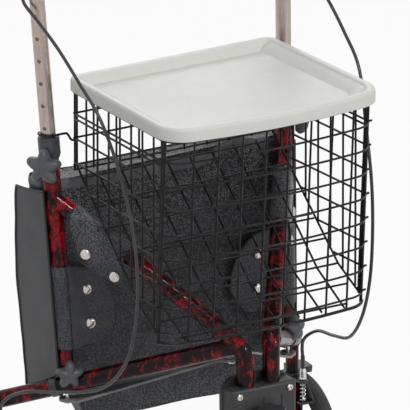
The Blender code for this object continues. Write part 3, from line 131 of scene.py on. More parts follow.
class ShaderSheet:
    """A material with its node tree, around one Principled shader."""

    def __init__(self, name: str) -> None:
        """Makes the material."""
        self.material = bpy.data.materials.new(name)
        self.material.use_nodes = True
        self.tree = self.material.node_tree
        self.shader = self.tree.nodes["Principled BSDF"]
        self._place: Optional[Signal] = None

    def feed(self, socket: bpy.types.NodeSocket, value: Any) -> None:
        """Links a signal to a socket, or sets the socket's own value."""
        if isinstance(value, Signal):
            self.tree.links.new(value.socket, socket)
        else:
            colour = isinstance(value, tuple) and socket.type == "RGBA"
            socket.default_value = (*value, 1) if colour else value

    def add(self, kind: str, inputs: Optional[dict] = None, **settings: Any) -> bpy.types.Node:
        """Adds a node with its settings, and values or signals by socket name or number."""
        node = self.tree.nodes.new(kind)
        for key, value in settings.items():
            setattr(node, key, value)
        for key, value in (inputs or {}).items():
            self.feed(node.inputs[key], value)
        return node

    def signal(self, kind: str, output: Union[str, int], inputs: Optional[dict] = None, **settings: Any) -> Signal:
        """Adds a node and returns one of its outputs."""
        return Signal(self, self.add(kind, inputs, **settings).outputs[output])

    def set(self, **values: Any) -> "ShaderSheet":
        """Feeds the shader's sockets, named with underscores for blanks."""
        for key, value in values.items():
            self.feed(self.shader.inputs[key.replace("_", " ")], value)
        return self

    @property
    def place(self) -> Signal:
        """Returns the piece's own coordinates, in metres."""
        if self._place is None:
            self._place = self.signal("ShaderNodeTexCoord", "Object")
        return self._place

    def level(self) -> Signal:
        """Returns the height above the floor."""
        return self.signal("ShaderNodeSeparateXYZ", "Z", {"Vector": self.place})

    def stretched(self, *scale: float) -> Signal:
        """Returns the coordinates with each axis scaled."""
        return self.signal("ShaderNodeVectorMath", 0, {0: self.place, 1: scale}, operation="MULTIPLY")

    def grain(self, size: float, detail: float = 3, roughness: float = 0.55, swirl: float = 0,
              place: Optional[Signal] = None) -> Signal:
        """Returns a noise around 0.5 whose features have a size."""
        inputs = {"Vector": place or self.place, "Scale": 1 / size, "Detail": detail,
                  "Roughness": roughness, "Distortion": swirl}
        return self.signal("ShaderNodeTexNoise", "Fac", inputs)

    def cells(self, size: float, place: Signal, feature: str = "F1") -> Signal:
        """Returns the distance in a cell pattern, 0 at each cell's middle."""
        inputs = {"Vector": place, "Scale": 1 / size, "Randomness": 0.72}
        return self.signal("ShaderNodeTexVoronoi", "Distance", inputs, feature=feature)

    def blend(self, share: Union[Signal, float], first: Any, second: Any) -> Signal:
        """Mixes two colours; a share of 0 gives the first."""
        return self.signal("ShaderNodeMix", 2, {0: share, 6: first, 7: second}, data_type="RGBA")

    def relief(self, height: Signal, depth: float, strength: float = 1) -> "ShaderSheet":
        """Bumps the surface by a height signal, depth metres at full height."""
        inputs = {"Height": height, "Distance": depth, "Strength": strength}
        return self.set(Normal=self.signal("ShaderNodeBump", "Normal", inputs))


@dataclass(frozen=True)
class Finish:
    """A named finish and its slot. Each kind builds its own material, once."""

    name: str
    slot: Slot

    def sheet(self) -> ShaderSheet:
        """Returns a new sheet with the finish's nodes."""
        raise NotImplementedError

    def material(self) -> bpy.types.Material:
        """Returns the finish's material, made on first use."""
        return bpy.data.materials.get(self.name) or self.sheet().material


@dataclass(frozen=True)
class MarbledPaint(Finish):
    """Gloss paint with dark mottled patches under clear lacquer; the patches spread further lower down, as painted
    shade.
    """

    bright: Colour = (0.36, 0.004, 0.011)
    deep: Colour = (0.095, 0.002, 0.005)
    patch: Colour = (0.008, 0.0012, 0.0022)
    patch_size: float = 0.015

    def sheet(self) -> ShaderSheet:
        """Returns the lacquered paint."""
        made = ShaderSheet(self.name)
        blots = made.grain(self.patch_size, 3, 0.62, 0.7, made.stretched(1, 1, 0.6))
        drift = made.grain(self.patch_size * 0.35, 2, 0.5, 0.4)
        level = made.level()
        # Painted shade: the height term lets the dark patches take more of the tube lower down, so low tubes read
        # darker and high tubes redder.
        mask = (blots + (drift - 0.5) * 0.22 + level.rise(0.28, 0.62) * 0.085).rise(0.5, 0.665)
        red = made.blend(made.grain(0.004, 2).rise(0.35, 0.7), self.bright, self.deep)
        made.set(Base_Color=made.blend(mask, self.patch, red), Metallic=0.1, Roughness=0.36,
                 Specular_IOR_Level=0.06, Coat_Weight=0.24, Coat_Roughness=0.05)
        return made.relief(made.grain(0.0016, 1), 0.00002, 0.35)


@dataclass(frozen=True)
class BrushedMetal(Finish):
    """Metal with fine drawn lines along its length and faint wear."""

    tint: Colour = (0.47, 0.385, 0.35)
    shine: float = 0.3
    streak: tuple[float, float, float] = (1, 1, 0.04)
    dull: float = 0.8

    def sheet(self) -> ShaderSheet:
        """Returns the metal."""
        made = ShaderSheet(self.name)
        lines = made.grain(0.0016, 2, 0.6, 0, made.stretched(*self.streak))
        cloud = made.grain(0.05, 2, 0.5)
        dulled = tuple(channel * self.dull for channel in self.tint)
        colour = made.blend((lines * 0.75 + cloud * 0.25).rise(0.38, 0.62), dulled, self.tint)
        made.set(Base_Color=colour, Metallic=1, Roughness=lines * 0.14 + cloud * 0.1 + (self.shine - 0.12))
        return made.relief(lines, 0.00002, 0.3)


@dataclass(frozen=True)
class MouldedPlastic(Finish):
    """Moulded plastic with a fine spark grain and handling marks."""

    tint: Colour
    marked: Colour
    gloss: float
    grain_size: float = 0.0007
    grain_depth: float = 0.00006

    def sheet(self) -> ShaderSheet:
        """Returns the plastic."""
        made = ShaderSheet(self.name)
        spark = made.grain(self.grain_size, 2, 0.6)
        marks = made.grain(0.022, 4, 0.62, 0.5)
        scuffs = made.grain(0.006, 3, 0.7, 1.2).rise(0.62, 0.74)
        colour = made.blend(marks.rise(0.4, 0.7) * 0.55, self.tint, self.marked)
        colour = made.blend(scuffs * 0.35, colour, self.marked)
        made.set(Base_Color=colour, Roughness=marks * 0.16 + spark * 0.1 + (self.gloss - 0.13))
        return made.relief(spark, self.grain_depth, 0.6)


@dataclass(frozen=True)
class DippedWire(Finish):
    """Steel wire under thick black dip coating, with small runs and beads."""

    tint: Colour = (0.0025, 0.0025, 0.003)
    bead: Colour = (0.011, 0.011, 0.012)

    def sheet(self) -> ShaderSheet:
        """Returns the coating."""
        made = ShaderSheet(self.name)
        runs = made.grain(0.006, 3, 0.6)
        colour = made.blend(runs.rise(0.45, 0.75), self.tint, self.bead)
        made.set(Base_Color=colour, Roughness=runs * 0.2 + 0.22, Specular_IOR_Level=0.15, Coat_Weight=0.14,
                 Coat_Roughness=0.12)
        return made.relief(runs, 0.00035, 0.5)


@dataclass(frozen=True)
class PebbledVinyl(Finish):
    """Soft vinyl with a pressed pebble grain, painted shade in its creases, painted highlights on its beads and a
    painted sheen higher up.
    """

    tint: Colour = (0.003, 0.0033, 0.0045)
    # Light colour of the bead tops, a painted highlight.
    bead_highlight: Colour = (0.094, 0.1, 0.124)
    # Paler colour the bead tops take higher up, a painted sheen.
    upper_sheen: Colour = (0.25, 0.258, 0.285)
    pebble: float = 0.0031
    depth: float = 0.0013
    gloss: float = 0.24

    def sheet(self) -> ShaderSheet:
        """Returns the vinyl."""
        made = ShaderSheet(self.name)
        wander = made.signal("ShaderNodeTexNoise", "Color", {"Vector": made.place, "Scale": 160, "Detail": 1})
        place = made.signal("ShaderNodeVectorMath", 0, {0: wander, 1: (0.0022, 0.0022, 0.0022), 2: made.place},
                            operation="MULTIPLY_ADD")
        bead = made.cells(self.pebble, place)
        crease = made.cells(self.pebble, place, "DISTANCE_TO_EDGE").rise(0, 0.22)
        pores = made.grain(0.0006, 2)
        sag = made.grain(0.035, 2)
        height = (1 - bead) * 0.6 + crease * 0.5 + pores * 0.12
        # Painted sheen: higher up, the bead colour blends towards the paler one.
        top = made.blend((made.level() + (sag - 0.5) * 0.16).rise(0.44, 0.6), self.bead_highlight, self.upper_sheen)
        # Painted shade and highlight: the dark tint fills the creases and the light colour the bead tops.
        colour = made.blend((0.74 - bead + sag * 0.06).rise(0.12, 0.62), self.tint, top)
        made.set(Base_Color=colour, Roughness=(1 - crease) * 0.22 + sag * 0.16 + (self.gloss - 0.08),
                 Specular_IOR_Level=0.46)
        return made.relief(height, self.depth)


@dataclass(frozen=True)
class PlainVinyl(Finish):
    """Flat backing vinyl with a fine twill emboss."""

    tint: Colour = (0.042, 0.044, 0.05)
    line: float = 0.0016

    def sheet(self) -> ShaderSheet:
        """Returns the vinyl."""
        made = ShaderSheet(self.name)
        twill = made.grain(self.line, 1, 0.5, 0.2, made.stretched(1, 1, 0.45))
        cloud = made.grain(0.05, 3)
        dark = tuple(channel * 0.42 for channel in self.tint)
        made.set(Base_Color=made.blend((twill * 0.5 + cloud * 0.5).rise(0.3, 0.7), dark, self.tint),
                 Roughness=cloud * 0.12 + 0.46)
        return made.relief(twill, 0.00025, 0.8)


@dataclass(frozen=True)
class Rubber(Finish):
    """Tyre and grip rubber, with patches of dust."""

    tint: Colour = (0.018, 0.018, 0.019)
    dust: Colour = (0.085, 0.08, 0.074)
    dustiness: float = 0.35

    def sheet(self) -> ShaderSheet:
        """Returns the rubber."""
        made = ShaderSheet(self.name)
        fine = made.grain(0.0009, 2, 0.6)
        dusty = made.grain(0.012, 4, 0.65, 0.6).rise(0.48, 0.72) * self.dustiness
        made.set(Base_Color=made.blend(dusty, self.tint, self.dust), Roughness=fine * 0.14 + dusty * 0.3 + 0.5)
        return made.relief(fine, 0.0001, 0.6)


RED = MarbledPaint("marbled_red_paint", Slot.FRAME)
BRONZE = BrushedMetal("bronze_anodised_tube", Slot.HANDLE)
STEEL = BrushedMetal("bright_steel", Slot.STEEL, (0.66, 0.66, 0.67), 0.24, (1, 1, 1))
PEWTER = BrushedMetal("pewter_snap", Slot.STEEL, (0.62, 0.58, 0.54), 0.22, (1, 1, 1), 0.7)
BLACK = MouldedPlastic("black_moulding", Slot.BLACK, (0.016, 0.016, 0.018), (0.034, 0.034, 0.037), 0.42)
BLACK_BOLT = replace(BLACK, slot=Slot.STEEL)
GREY = MouldedPlastic("grey_moulding", Slot.GREY, (0.066, 0.069, 0.078), (0.115, 0.12, 0.132), 0.44)
SLATE = MouldedPlastic("slate_collar", Slot.GREY, (0.036, 0.042, 0.056), (0.06, 0.068, 0.084), 0.36)
CABLE = MouldedPlastic("cable_sleeve", Slot.BLACK, (0.018, 0.018, 0.019), (0.04, 0.04, 0.042), 0.34, 0.0005, 0.00003)
LINK_GREY = MouldedPlastic("link_paint", Slot.GREY, (0.15, 0.15, 0.156), (0.23, 0.23, 0.236), 0.36)
PALE = MouldedPlastic("pale_tray_plastic", Slot.TRAY, (0.66, 0.66, 0.624), (0.63, 0.629, 0.593), 0.46, 0.0011, 0.00005)
RIM = MouldedPlastic("rim_plastic", Slot.GREY, (0.055, 0.057, 0.062), (0.095, 0.098, 0.105), 0.4)
WIRE = DippedWire("dipped_wire", Slot.WIRE)
# Pouch vinyl with painted crease shade, bead highlights and a sheen higher up.
VINYL = PebbledVinyl("pebbled_vinyl", Slot.VINYL)
# Flap vinyl, lighter, with the same painted crease shade, bead highlights and sheen higher up.
FLAP_VINYL = PebbledVinyl("flap_vinyl", Slot.VINYL, (0.015, 0.016, 0.02), (0.1, 0.106, 0.13), pebble=0.0024,
                          depth=0.001, gloss=0.22)
FLAT_VINYL = PlainVinyl("backing_vinyl", Slot.VINYL)
HEM_VINYL = PlainVinyl("hem_vinyl", Slot.VINYL, (0.12, 0.124, 0.135))
# Near-black piping: the rolled edges are dark, and their colour is darkened further to paint the shadow line round the
# flaps.
BINDING = PlainVinyl("vinyl_binding", Slot.VINYL, (0.0035, 0.0038, 0.0048), 0.001)
TYRE = Rubber("tyre_rubber", Slot.TYRE)
GRIP = Rubber("grip_rubber", Slot.BLACK, (0.02, 0.02, 0.022), (0.05, 0.05, 0.05), 0.2)


def vec(x: float = 0, y: float = 0, z: float = 0) -> Vector:
    """Returns a vector."""
    return Vector((x, y, z))


def along(start: Vector, way: Vector, near: Vector = UP) -> Matrix:
    """Returns a place at start whose Z runs along way and whose X leans towards near."""
    forward = way.normalized()
    across = near - near.dot(forward) * forward
    if across.length < 1e-4:
        across = vec(1) - forward.x * forward
    across.normalize()
    return Matrix.Translation(start) @ Matrix((across, forward.cross(across), forward)).transposed().to_4x4()


def between(value: float, start: float, end: float, first: float, last: float) -> float:
    """Reads at a value the straight line that goes from first at start to last at end."""
    return first + (last - first) * ((start - value) / (start - end))


def circle(steps: int) -> list[float]:
    """Lists evenly spaced angles round a circle."""
    return [2 * pi * step / steps for step in range(steps)]


def polar(radius: float, turn: float) -> tuple[float, float]:
    """Returns the point of a circle at an angle."""
    return radius * cos(turn), radius * sin(turn)


def arc(centre: Sequence[float], radius: float, start: float, end: float, steps: int) -> Pairs:
    """Lists points on an arc in a plane, angles in degrees."""
    turns = [radians(start + (end - start) * step / steps) for step in range(steps + 1)]
    return [(centre[0] + radius * cos(turn), centre[1] + radius * sin(turn)) for turn in turns]


def rounded_path(corners: Points, radius: float, steps: int) -> list[Vector]:
    """Replaces the inner corners of a path by arcs."""
    path = [corners[0]]
    for before, corner, after in zip(corners, corners[1:], corners[2:]):
        inward, outward = (before - corner).normalized(), (after - corner).normalized()
        half = inward.angle(outward) / 2
        centre = corner + (inward + outward).normalized() * radius / sin(half)
        first = corner + inward * radius / tan(half) - centre
        last = corner + outward * radius / tan(half) - centre
        swing = first.angle(last)
        for step in range(steps + 1):
            share = step / steps
            path.append(centre + (sin((1 - share) * swing) * first + sin(share * swing) * last) / sin(swing))
    return path + [corners[-1]]


def smooth_path(given: list[Vector], count: int, fineness: int = 16) -> list[Vector]:
    """Reads evenly spaced points from a smooth curve through the given ones."""
    ends = [2 * given[0] - given[1]] + given + [2 * given[-1] - given[-2]]
    fine = []
    for a, b, c, d in zip(ends, ends[1:], ends[2:], ends[3:]):
        for t in (step / fineness for step in range(fineness)):
            fine.append(0.5 * (2 * b + (c - a) * t + (2 * a - 5 * b + 4 * c - d) * t * t
                               + (3 * b - a - 3 * c + d) * t ** 3))
    fine.append(given[-1])
    lengths = [0]
    for first, second in zip(fine, fine[1:]):
        lengths.append(lengths[-1] + (second - first).length)
    path, place = [], 0
    for index in range(count):
        target = lengths[-1] * index / (count - 1)
        while place < len(fine) - 2 and lengths[place + 1] < target:
            place += 1
        span = max(lengths[place + 1] - lengths[place], 1e-9)
        path.append(fine[place].lerp(fine[place + 1], (target - lengths[place]) / span))
    return path


class Form:
    """A mesh in the making, put together from lofted, swept and turned skins."""

    def __init__(self) -> None:
        """Starts with nothing."""
        self.work = bmesh.new()
        self.rows: list[list[bmesh.types.BMVert]] = []

    def loft(self, rings: Sequence[Points], caps: bool = True, closed: bool = False, looped: bool = True) -> "Form":
        """Adds a skin over rings of points. Closed joins the last ring to the first, and looped each to itself."""
        self.rows = rows = [[self.work.verts.new(point) for point in ring] for ring in rings]
        total = len(rows[0])
        for lower, upper in zip(rows, rows[1:] + rows[:int(closed)]):
            for index in range(total if looped else total - 1):
                after = (index + 1) % total
                self.work.faces.new((lower[index], lower[after], upper[after], upper[index]))
        if caps and not closed:
            self.work.faces.new(rows[0])
            self.work.faces.new(rows[-1])
        return self

    def fit(self, row: int, move: Callable[[Vector], Vector]) -> "Form":
        """Moves one ring of the last skin by a function of each point."""
        for vert in self.rows[row]:
            vert.co = move(vert.co.copy())
        return self

    def cap(self, ring: Points) -> "Form":
        """Fills a ring with a face of its own."""
        self.work.faces.new([self.work.verts.new(point) for point in ring])
        return self

    def seal(self) -> "Form":
        """Joins points that lie on each other."""
        bmesh.ops.remove_doubles(self.work, verts=self.work.verts[:], dist=1e-6)
        return self

    def tube(self, line: Sequence[Vector], radius: float, sides: int = 12, closed: bool = False,
             domed: bool = False) -> "Form":
        """Sweeps a round tube along points, with flat or domed ends."""
        last = len(line) - 1
        ways = []
        for index in range(last + 1):
            before = line[index - 1] if index or closed else line[index]
            after = line[(index + 1) % (last + 1)] if index < last or closed else line[index]
            ways.append((after - before).normalized())
        across = (ASKEW - ASKEW.dot(ways[0]) * ways[0]).normalized()
        stations = []
        for point, way in zip(line, ways):
            across = (across - across.dot(way) * way).normalized()
            stations.append((point, way, across, radius))
        if domed:
            for sign in (-1, 1):
                point, way, side, size = stations[0 if sign < 0 else -1]
                dome = [(point + way * sign * size * sin(turn), way, side, size * cos(turn))
                        for turn in (radians(30), radians(60), radians(82))]
                stations = dome[::-1] + stations if sign < 0 else stations + dome
        rings = []
        for point, way, side, size in stations:
            other = way.cross(side)
            rings.append([point + (side * cos(turn) + other * sin(turn)) * size for turn in circle(sides)])
        return self.loft(rings, True, closed)

    def wire(self, line: Sequence[Vector], radius: float, sides: int = 10) -> "Form":
        """Sweeps a tube with domed ends."""
        return self.tube(line, radius, sides, domed=True)

    def weld(self, radius: float) -> "Form":
        """Lays a weld bead along the first ring of the last skin."""
        return self.tube([vert.co.copy() for vert in self.rows[0]], radius, 8, True)

    def turned(self, profile: Points, place: Matrix, steps: int = 48, closed: bool = True) -> "Form":
        """Turns pairs of radius and height about a place's Z; a profile that isn't closed has its ends filled."""
        rings = [[place @ vec(*polar(radius, turn), height) for turn in circle(steps)] for radius, height in profile]
        return self.loft(rings, True, closed)

    def sleeve(self, inner: float, outer: float, low: float, high: float, soft: float, place: Matrix,
               steps: int = 48) -> "Form":
        """Adds a ring about a place's Z, its outer edges chamfered by soft."""
        return self.turned([(inner, low), (outer - soft, low), (outer, low + soft), (outer, high - soft),
                            (outer - soft, high), (inner, high)], place, steps)

    def slab(self, outline: Pairs, thickness: float, place: Matrix, soft: float) -> "Form":
        """Adds a flat plate with softened edges, half its thickness on each side of the place's XY plane."""
        work = bmesh.new()
        low, high = ([work.verts.new((x, y, level * thickness / 2)) for x, y in outline] for level in (-1, 1))
        for index in range(len(outline)):
            after = (index + 1) % len(outline)
            work.faces.new((low[index], low[after], high[after], high[index]))
        caps = [work.faces.new(low[::-1]), work.faces.new(high)]
        bmesh.ops.bevel(work, geom=[edge for face in caps for edge in face.edges], offset=soft, segments=3,
                        profile=0.5, affect="EDGES", clamp_overlap=True)
        return self.absorb(work, place)

    def block(self, low: Sequence[float], high: Sequence[float], soft: float) -> "Form":
        """Adds a block between two corners with rounded edges."""
        low, high = Vector(low), Vector(high)
        work = bmesh.new()
        bmesh.ops.create_cube(work, size=1)
        bmesh.ops.scale(work, verts=work.verts[:], vec=high - low)
        bmesh.ops.translate(work, verts=work.verts[:], vec=(low + high) / 2)
        bmesh.ops.bevel(work, geom=work.edges[:], offset=soft, segments=3, profile=0.5, affect="EDGES")
        return self.absorb(work, Matrix.Identity(4))

    def rod(self, start: Vector, end: Vector, radius: float, sides: int = 32, soft: float = 0) -> "Form":
        """Adds a straight round bar whose ends are chamfered by soft."""
        length = (end - start).length
        profile = [(radius - soft, 0), (radius, soft), (radius, length - soft), (radius - soft, length)]
        return self.turned(profile if soft else profile[1:3], along(start, end - start), sides, False)

    def absorb(self, other: bmesh.types.BMesh, place: Matrix) -> "Form":
        """Takes in another mesh at a place."""
        bmesh.ops.transform(other, verts=other.verts[:], matrix=place)
        mesh = bpy.data.meshes.new("passing")
        other.to_mesh(mesh)
        other.free()
        self.work.from_mesh(mesh)
        bpy.data.meshes.remove(mesh)
        return self

    def piece(self, name: str, finish: Finish, sharp: float = SHARP_DEGREES) -> bpy.types.Object:
        """Turns the form into a shown piece with its finish. Edges over sharp degrees stay sharp."""
        bmesh.ops.recalc_face_normals(self.work, faces=self.work.faces[:])
        mesh = bpy.data.meshes.new(name)
        self.work.to_mesh(mesh)
        self.work.free()
        mesh.materials.append(finish.material())
        LOG.info("%s: %d faces", name, len(mesh.polygons))
        return shaded(shown(name, mesh), sharp)

    def ride(self, name: str, finish: Finish, body: str, *nodes: str, sharp: float = SHARP_DEGREES) -> bpy.types.Object:
        """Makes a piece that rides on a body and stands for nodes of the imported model."""
        return settle(self.piece(name, finish, sharp), body, *nodes)


def shown(name: str, data: Any) -> bpy.types.Object:
    """Makes an object and puts it in the scene."""
    thing = bpy.data.objects.new(name, data)
    bpy.context.scene.collection.objects.link(thing)
    return thing


def shaded(thing: bpy.types.Object, sharp: float) -> bpy.types.Object:
    """Shades a piece smooth between its sharp edges."""
    thing.data.shade_smooth()
    thing.data.set_sharp_from_angle(angle=radians(sharp))
    return thing


def settle(thing: bpy.types.Object, body: str, *nodes: str) -> bpy.types.Object:
    """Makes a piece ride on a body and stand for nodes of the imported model."""
    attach(thing, body)
    if nodes:
        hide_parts(*nodes)
    return thing


def carve(thing: bpy.types.Object, cutter: Form) -> bpy.types.Object:
    """Cuts a form out of a piece."""
    tool = cutter.piece("cutter", BLACK)
    step = thing.modifiers.new("cut", "BOOLEAN")
    step.operation, step.solver, step.object = "DIFFERENCE", "EXACT", tool
    bpy.context.view_layer.update()
    mesh = bpy.data.meshes.new_from_object(thing.evaluated_get(bpy.context.evaluated_depsgraph_get()))
    thing.modifiers.clear()
    old, thing.data = thing.data, mesh
    bpy.data.meshes.remove(old)
    bpy.data.objects.remove(tool, do_unlink=True)
    mesh.name = thing.name
    return shaded(thing, SHARP_DEGREES)


def distance_to(path: Sequence[Vector], point: Vector) -> float:
    """Returns how far a point is from a path of straight runs."""
    best = inf
    for first, second in zip(path, path[1:]):
        run = second - first
        share = min(max((point - first).dot(run) / run.length_squared, 0), 1)
        best = min(best, (first + run * share - point).length)
    return best


def leave(point: Vector, way: Vector, path: Sequence[Vector], radius: float, limit: float = 0.06) -> Vector:
    """Moves a point inside a tube along a direction, at most to a limit, to where it leaves the tube."""
    low, high = 0, limit
    for _ in range(20):
        middle = (low + high) / 2
        if distance_to(path, point + way * middle) < radius:
            low = middle
        else:
            high = middle
    return point + way * high


@dataclass(frozen=True)
class Layout:
    """Lines that the walker's pieces share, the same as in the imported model."""

    frame_radius: float = 0.0127
    handle_radius: float = 0.0111
    leg_radius: float = 0.0095
    clearance: float = 0.0003
    pivot_x: float = 0.0217
    pivot_y: float = -0.1725
    steer_y: float = -0.2085
    leg_x: float = 0.25473
    leg_y: float = 0.13981
    cable_y: float = 0.11081
    axle_y: float = 0.17281
    wheel_radius: float = 0.095
    rear_x: float = 0.287
    bracket_x: float = 0.26453
    adjuster_z: float = 0.202
    brake_pivot_z: float = 0.199
    tyre_width: float = 0.026
    link_outer: tuple[float, float, float] = (0.18597, 0.04364, 0.2755)
    collar_z: float = 0.65
    bend_z: float = 0.905
    diagonal_top: float = 0.574
    diagonal_knee: float = 0.387
    post_foot: float = 0.298
    rail_head: float = 0.3925
    bracket_wall: float = 0.003
    hub_half: float = 0.01897
    stop_reach: float = 0.046
    splay: float = 0.041
    rake: float = 0.082

    def upright(self, side: Side, height: float) -> Vector:
        """Returns the point of an upright's axis at a height."""
        rise = height - self.collar_z
        return vec(side.value * (0.1974 + self.splay * rise), 0.0725 + self.rake * rise, height)

    def upright_way(self, side: Side) -> Vector:
        """Returns the direction of an upright."""
        return vec(side.value * self.splay, self.rake, 1).normalized()

    def hinge(self, side: Side, height: float) -> Vector:
        """Returns the point of a frame's fold axis at a height."""
        return vec(side.value * self.pivot_x, self.pivot_y, height)

    def outboard(self, side: Side) -> Vector:
        """Returns the level direction square to a side frame, outwards."""
        ahead = (self.upright(side, self.post_foot) - self.hinge(side, self.post_foot)).normalized()
        return vec(side.value * abs(ahead.y), -abs(ahead.x))

    def lower(self, side: Side, reach: float) -> Vector:
        """Returns the point of a lower tube's axis at a level reach past the upright."""
        start, meet = self.hinge(side, self.rail_head), self.upright(side, self.post_foot)
        level = hypot(meet.x - start.x, meet.y - start.y)
        return start + (meet - start) * (level + reach) / level

    def leg(self, side: Side, height: float) -> Vector:
        """Returns the point of a leg's axis at a height."""
        return vec(side.value * self.leg_x, self.leg_y, height)

    def knob_way(self, side: Side) -> Vector:
        """Returns the direction in which the lower star knob faces."""
        turn = radians(22)
        return vec(side.value * sin(turn), -cos(turn))

    def grip_way(self, side: Side) -> Vector:
        """Returns the direction of a hand grip."""
        turn = radians(12)
        return vec(side.value * sin(turn), cos(turn), 0.02).normalized()

    def side_plane(self, x: float) -> Matrix:
        """Returns a place whose XY plane is the plane of Y and Z at X."""
        return Matrix(((0, 0, 1, x), (1, 0, 0, 0), (0, 1, 0, 0), (0, 0, 0, 1)))


LAY = Layout()


@dataclass
class PhotoCamera:
    """The camera of the photograph, found from the walker's own lines."""

    azimuth: float = -32
    elevation: float = 19
    distance: float = 25
    pixels_per_metre: float = 700
    picture: float = 410
    sensor: float = 36
    seat: tuple[float, float, float] = (0, 0.0725, 0.65)
    seat_pixel: tuple[float, float] = (167, 123)

    def build(self) -> None:
        """Makes the camera."""
        turn, lift = radians(self.azimuth), radians(self.elevation)
        right = vec(cos(turn), sin(turn))
        ahead = vec(-sin(turn) * cos(lift), cos(turn) * cos(lift), -sin(lift))
        above = right.cross(ahead)
        across, down = ((self.picture / 2 - pixel) / self.pixels_per_metre for pixel in self.seat_pixel)
        aim = Vector(self.seat) + right * across - above * down
        data = bpy.data.cameras.new("photo_camera")
        data.sensor_width = self.sensor
        data.lens = self.sensor * self.distance / (self.picture / self.pixels_per_metre)
        data.clip_end = 80
        camera = bpy.context.scene.camera = shown("photo_camera", data)
        turned = Matrix((right, above, -ahead)).transposed().to_4x4()
        camera.matrix_world = Matrix.Translation(aim - ahead * self.distance) @ turned


@dataclass
class Studio:
    """Plain pale studio: a floor, an even dome and large soft lamps."""

    dome: float = 0.36
    floor_size: float = 40
    aim: float = 0.5
    rays: tuple[str, str, str] = ("Is Camera Ray", "Is Glossy Ray", "Is Transmission Ray")

    def build(self) -> None:
        """Makes the floor, the world and the lamps."""
        bpy.context.scene.view_settings.view_transform = "Standard"
        self.build_floor()
        self.build_world()
        for name, place, size, power in (("key_light", (-0.55, -1.6, 2.95), 0.36, 33),
                                         ("front_fill", (1.6, -2.6, 1.5), 0.22, 15),
                                         ("back_strip", (1.2, 2.2, 2.3), 1.2, 16)):
            data = bpy.data.lights.new(name, "AREA")
            data.size, data.energy = size, power
            turned = (Vector(place) - vec(0, 0, self.aim)).to_track_quat("Z", "Y").to_matrix().to_4x4()
            shown(name, data).matrix_world = Matrix.Translation(place) @ turned

    def build_floor(self) -> None:
        """Makes the floor, which looks white and still takes the shadow."""
        half = self.floor_size / 2
        form = Form().cap([(-half, -half, 0), (half, -half, 0), (half, half, 0), (-half, half, 0)])
        sheet = ShaderSheet("floor_white")
        sheet.set(Base_Color=sheet.blend(sheet.grain(0.4, 2), (0.86, 0.86, 0.86), (0.9, 0.9, 0.9)), Roughness=0.9,
                  Specular_IOR_Level=0.1)
        path = sheet.add("ShaderNodeLightPath")
        camera, glossy, through = (Signal(sheet, path.outputs[name]) for name in self.rays)
        seen = camera + glossy + through
        glow = sheet.add("ShaderNodeEmission", {"Color": (1, 1, 1), "Strength": 1})
        mix = sheet.add("ShaderNodeMixShader", {0: seen.smallest(1) * 0.93})
        surface = sheet.tree.nodes["Material Output"].inputs["Surface"]
        for node, socket in ((sheet.shader, mix.inputs[1]), (glow, mix.inputs[2]), (mix, surface)):
            sheet.tree.links.new(node.outputs[0], socket)
        mesh = bpy.data.meshes.new("floor")
        form.work.to_mesh(mesh)
        form.work.free()
        mesh.materials.append(sheet.material)
        shown("floor", mesh)

    def build_world(self) -> None:
        """Makes the dome, which looks white and lights at a lower level."""
        world = bpy.context.scene.world = bpy.data.worlds.new("studio")
        world.use_nodes = True
        tree = world.node_tree
        path = tree.nodes.new("ShaderNodeLightPath")
        strength = tree.nodes.new("ShaderNodeMapRange")
        strength.inputs["To Min"].default_value = self.dome
        seen = path.outputs[self.rays[0]]
        for name in self.rays[1:]:
            total = tree.nodes.new("ShaderNodeMath")
            total.operation = "MAXIMUM"
            tree.links.new(seen, total.inputs[0])
            tree.links.new(path.outputs[name], total.inputs[1])
            seen = total.outputs[0]
        tree.links.new(seen, strength.inputs["Value"])
        back = tree.nodes["Background"]
        back.inputs["Color"].default_value = (1, 1, 1, 1)
        tree.links.new(strength.outputs["Result"], back.inputs["Strength"])


@dataclass
class BrakeCable:
    """One brake cable from the lever to the adjuster."""

    side: Side
    radius: float = 0.0025
    cap: float = 0.0031
    split: tuple[float, float, float] = (0.2215, -0.05, 0.783)

    def route(self) -> list[Vector]:
        """Lists the chosen points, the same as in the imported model."""
        sign, back = self.side.value, LAY.grip_way(self.side)
        mouth = LAY.upright(self.side, LAY.bend_z) + back * LAY.stop_reach + vec(0, 0, -0.034) - back * 0.0105
        top = LAY.adjuster_z + 0.017 + LAY.clearance
        far, near = LAY.leg_x, LAY.cable_y
        points = ((0.2245, 0.094, 0.862), (0.226, 0.052, 0.846), (0.2245, 0.002, 0.82), self.split,
                  (0.2165, -0.098, 0.742), (0.206, -0.133, 0.669), (0.2, -0.158, 0.59), (0.197, -0.1655, 0.513),
                  (0.197, -0.158, 0.441), (0.2, -0.133, 0.38), (0.21, -0.085, 0.334), (0.23, -0.01, 0.31),
                  (0.248, 0.062, 0.292), (far, near - 0.001, 0.262), (far, near, top + 0.012), (far, near, top))
        first = [mouth, mouth - back * 0.01 + vec(sign * 0.001, 0, -0.001)]
        return first + [vec(sign * x, y, z) for x, y, z in points]

    def build(self) -> None:
        """Makes the sleeve in two stretches, with an end cap on each."""
        side = self.side
        path = smooth_path(self.route(), 260)
        split = vec(side.value * self.split[0], *self.split[1:])
        place = min(range(len(path)), key=lambda index: (path[index] - split).length)
        upper = Form().tube(path[:place + 1], self.radius, 14).tube(path[:5], self.cap, 14)
        piece = upper.piece(side("cable_to_lever"), CABLE)
        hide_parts(side("brake_cable"))
        side("frame")
        side("handle")
        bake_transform(piece)
        lower = Form().tube(path[place:], self.radius, 14).tube(path[-6:], self.cap, 14)
        chord = path[place] - path[-1]
        square = vec(0, chord.z, -chord.y).normalized()
        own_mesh(lower.ride(side("cable_to_wheel"), CABLE, side("frame")), side("fold"), axis=tuple(square),
                  anchor=tuple(path[-1]), keep=0.2)


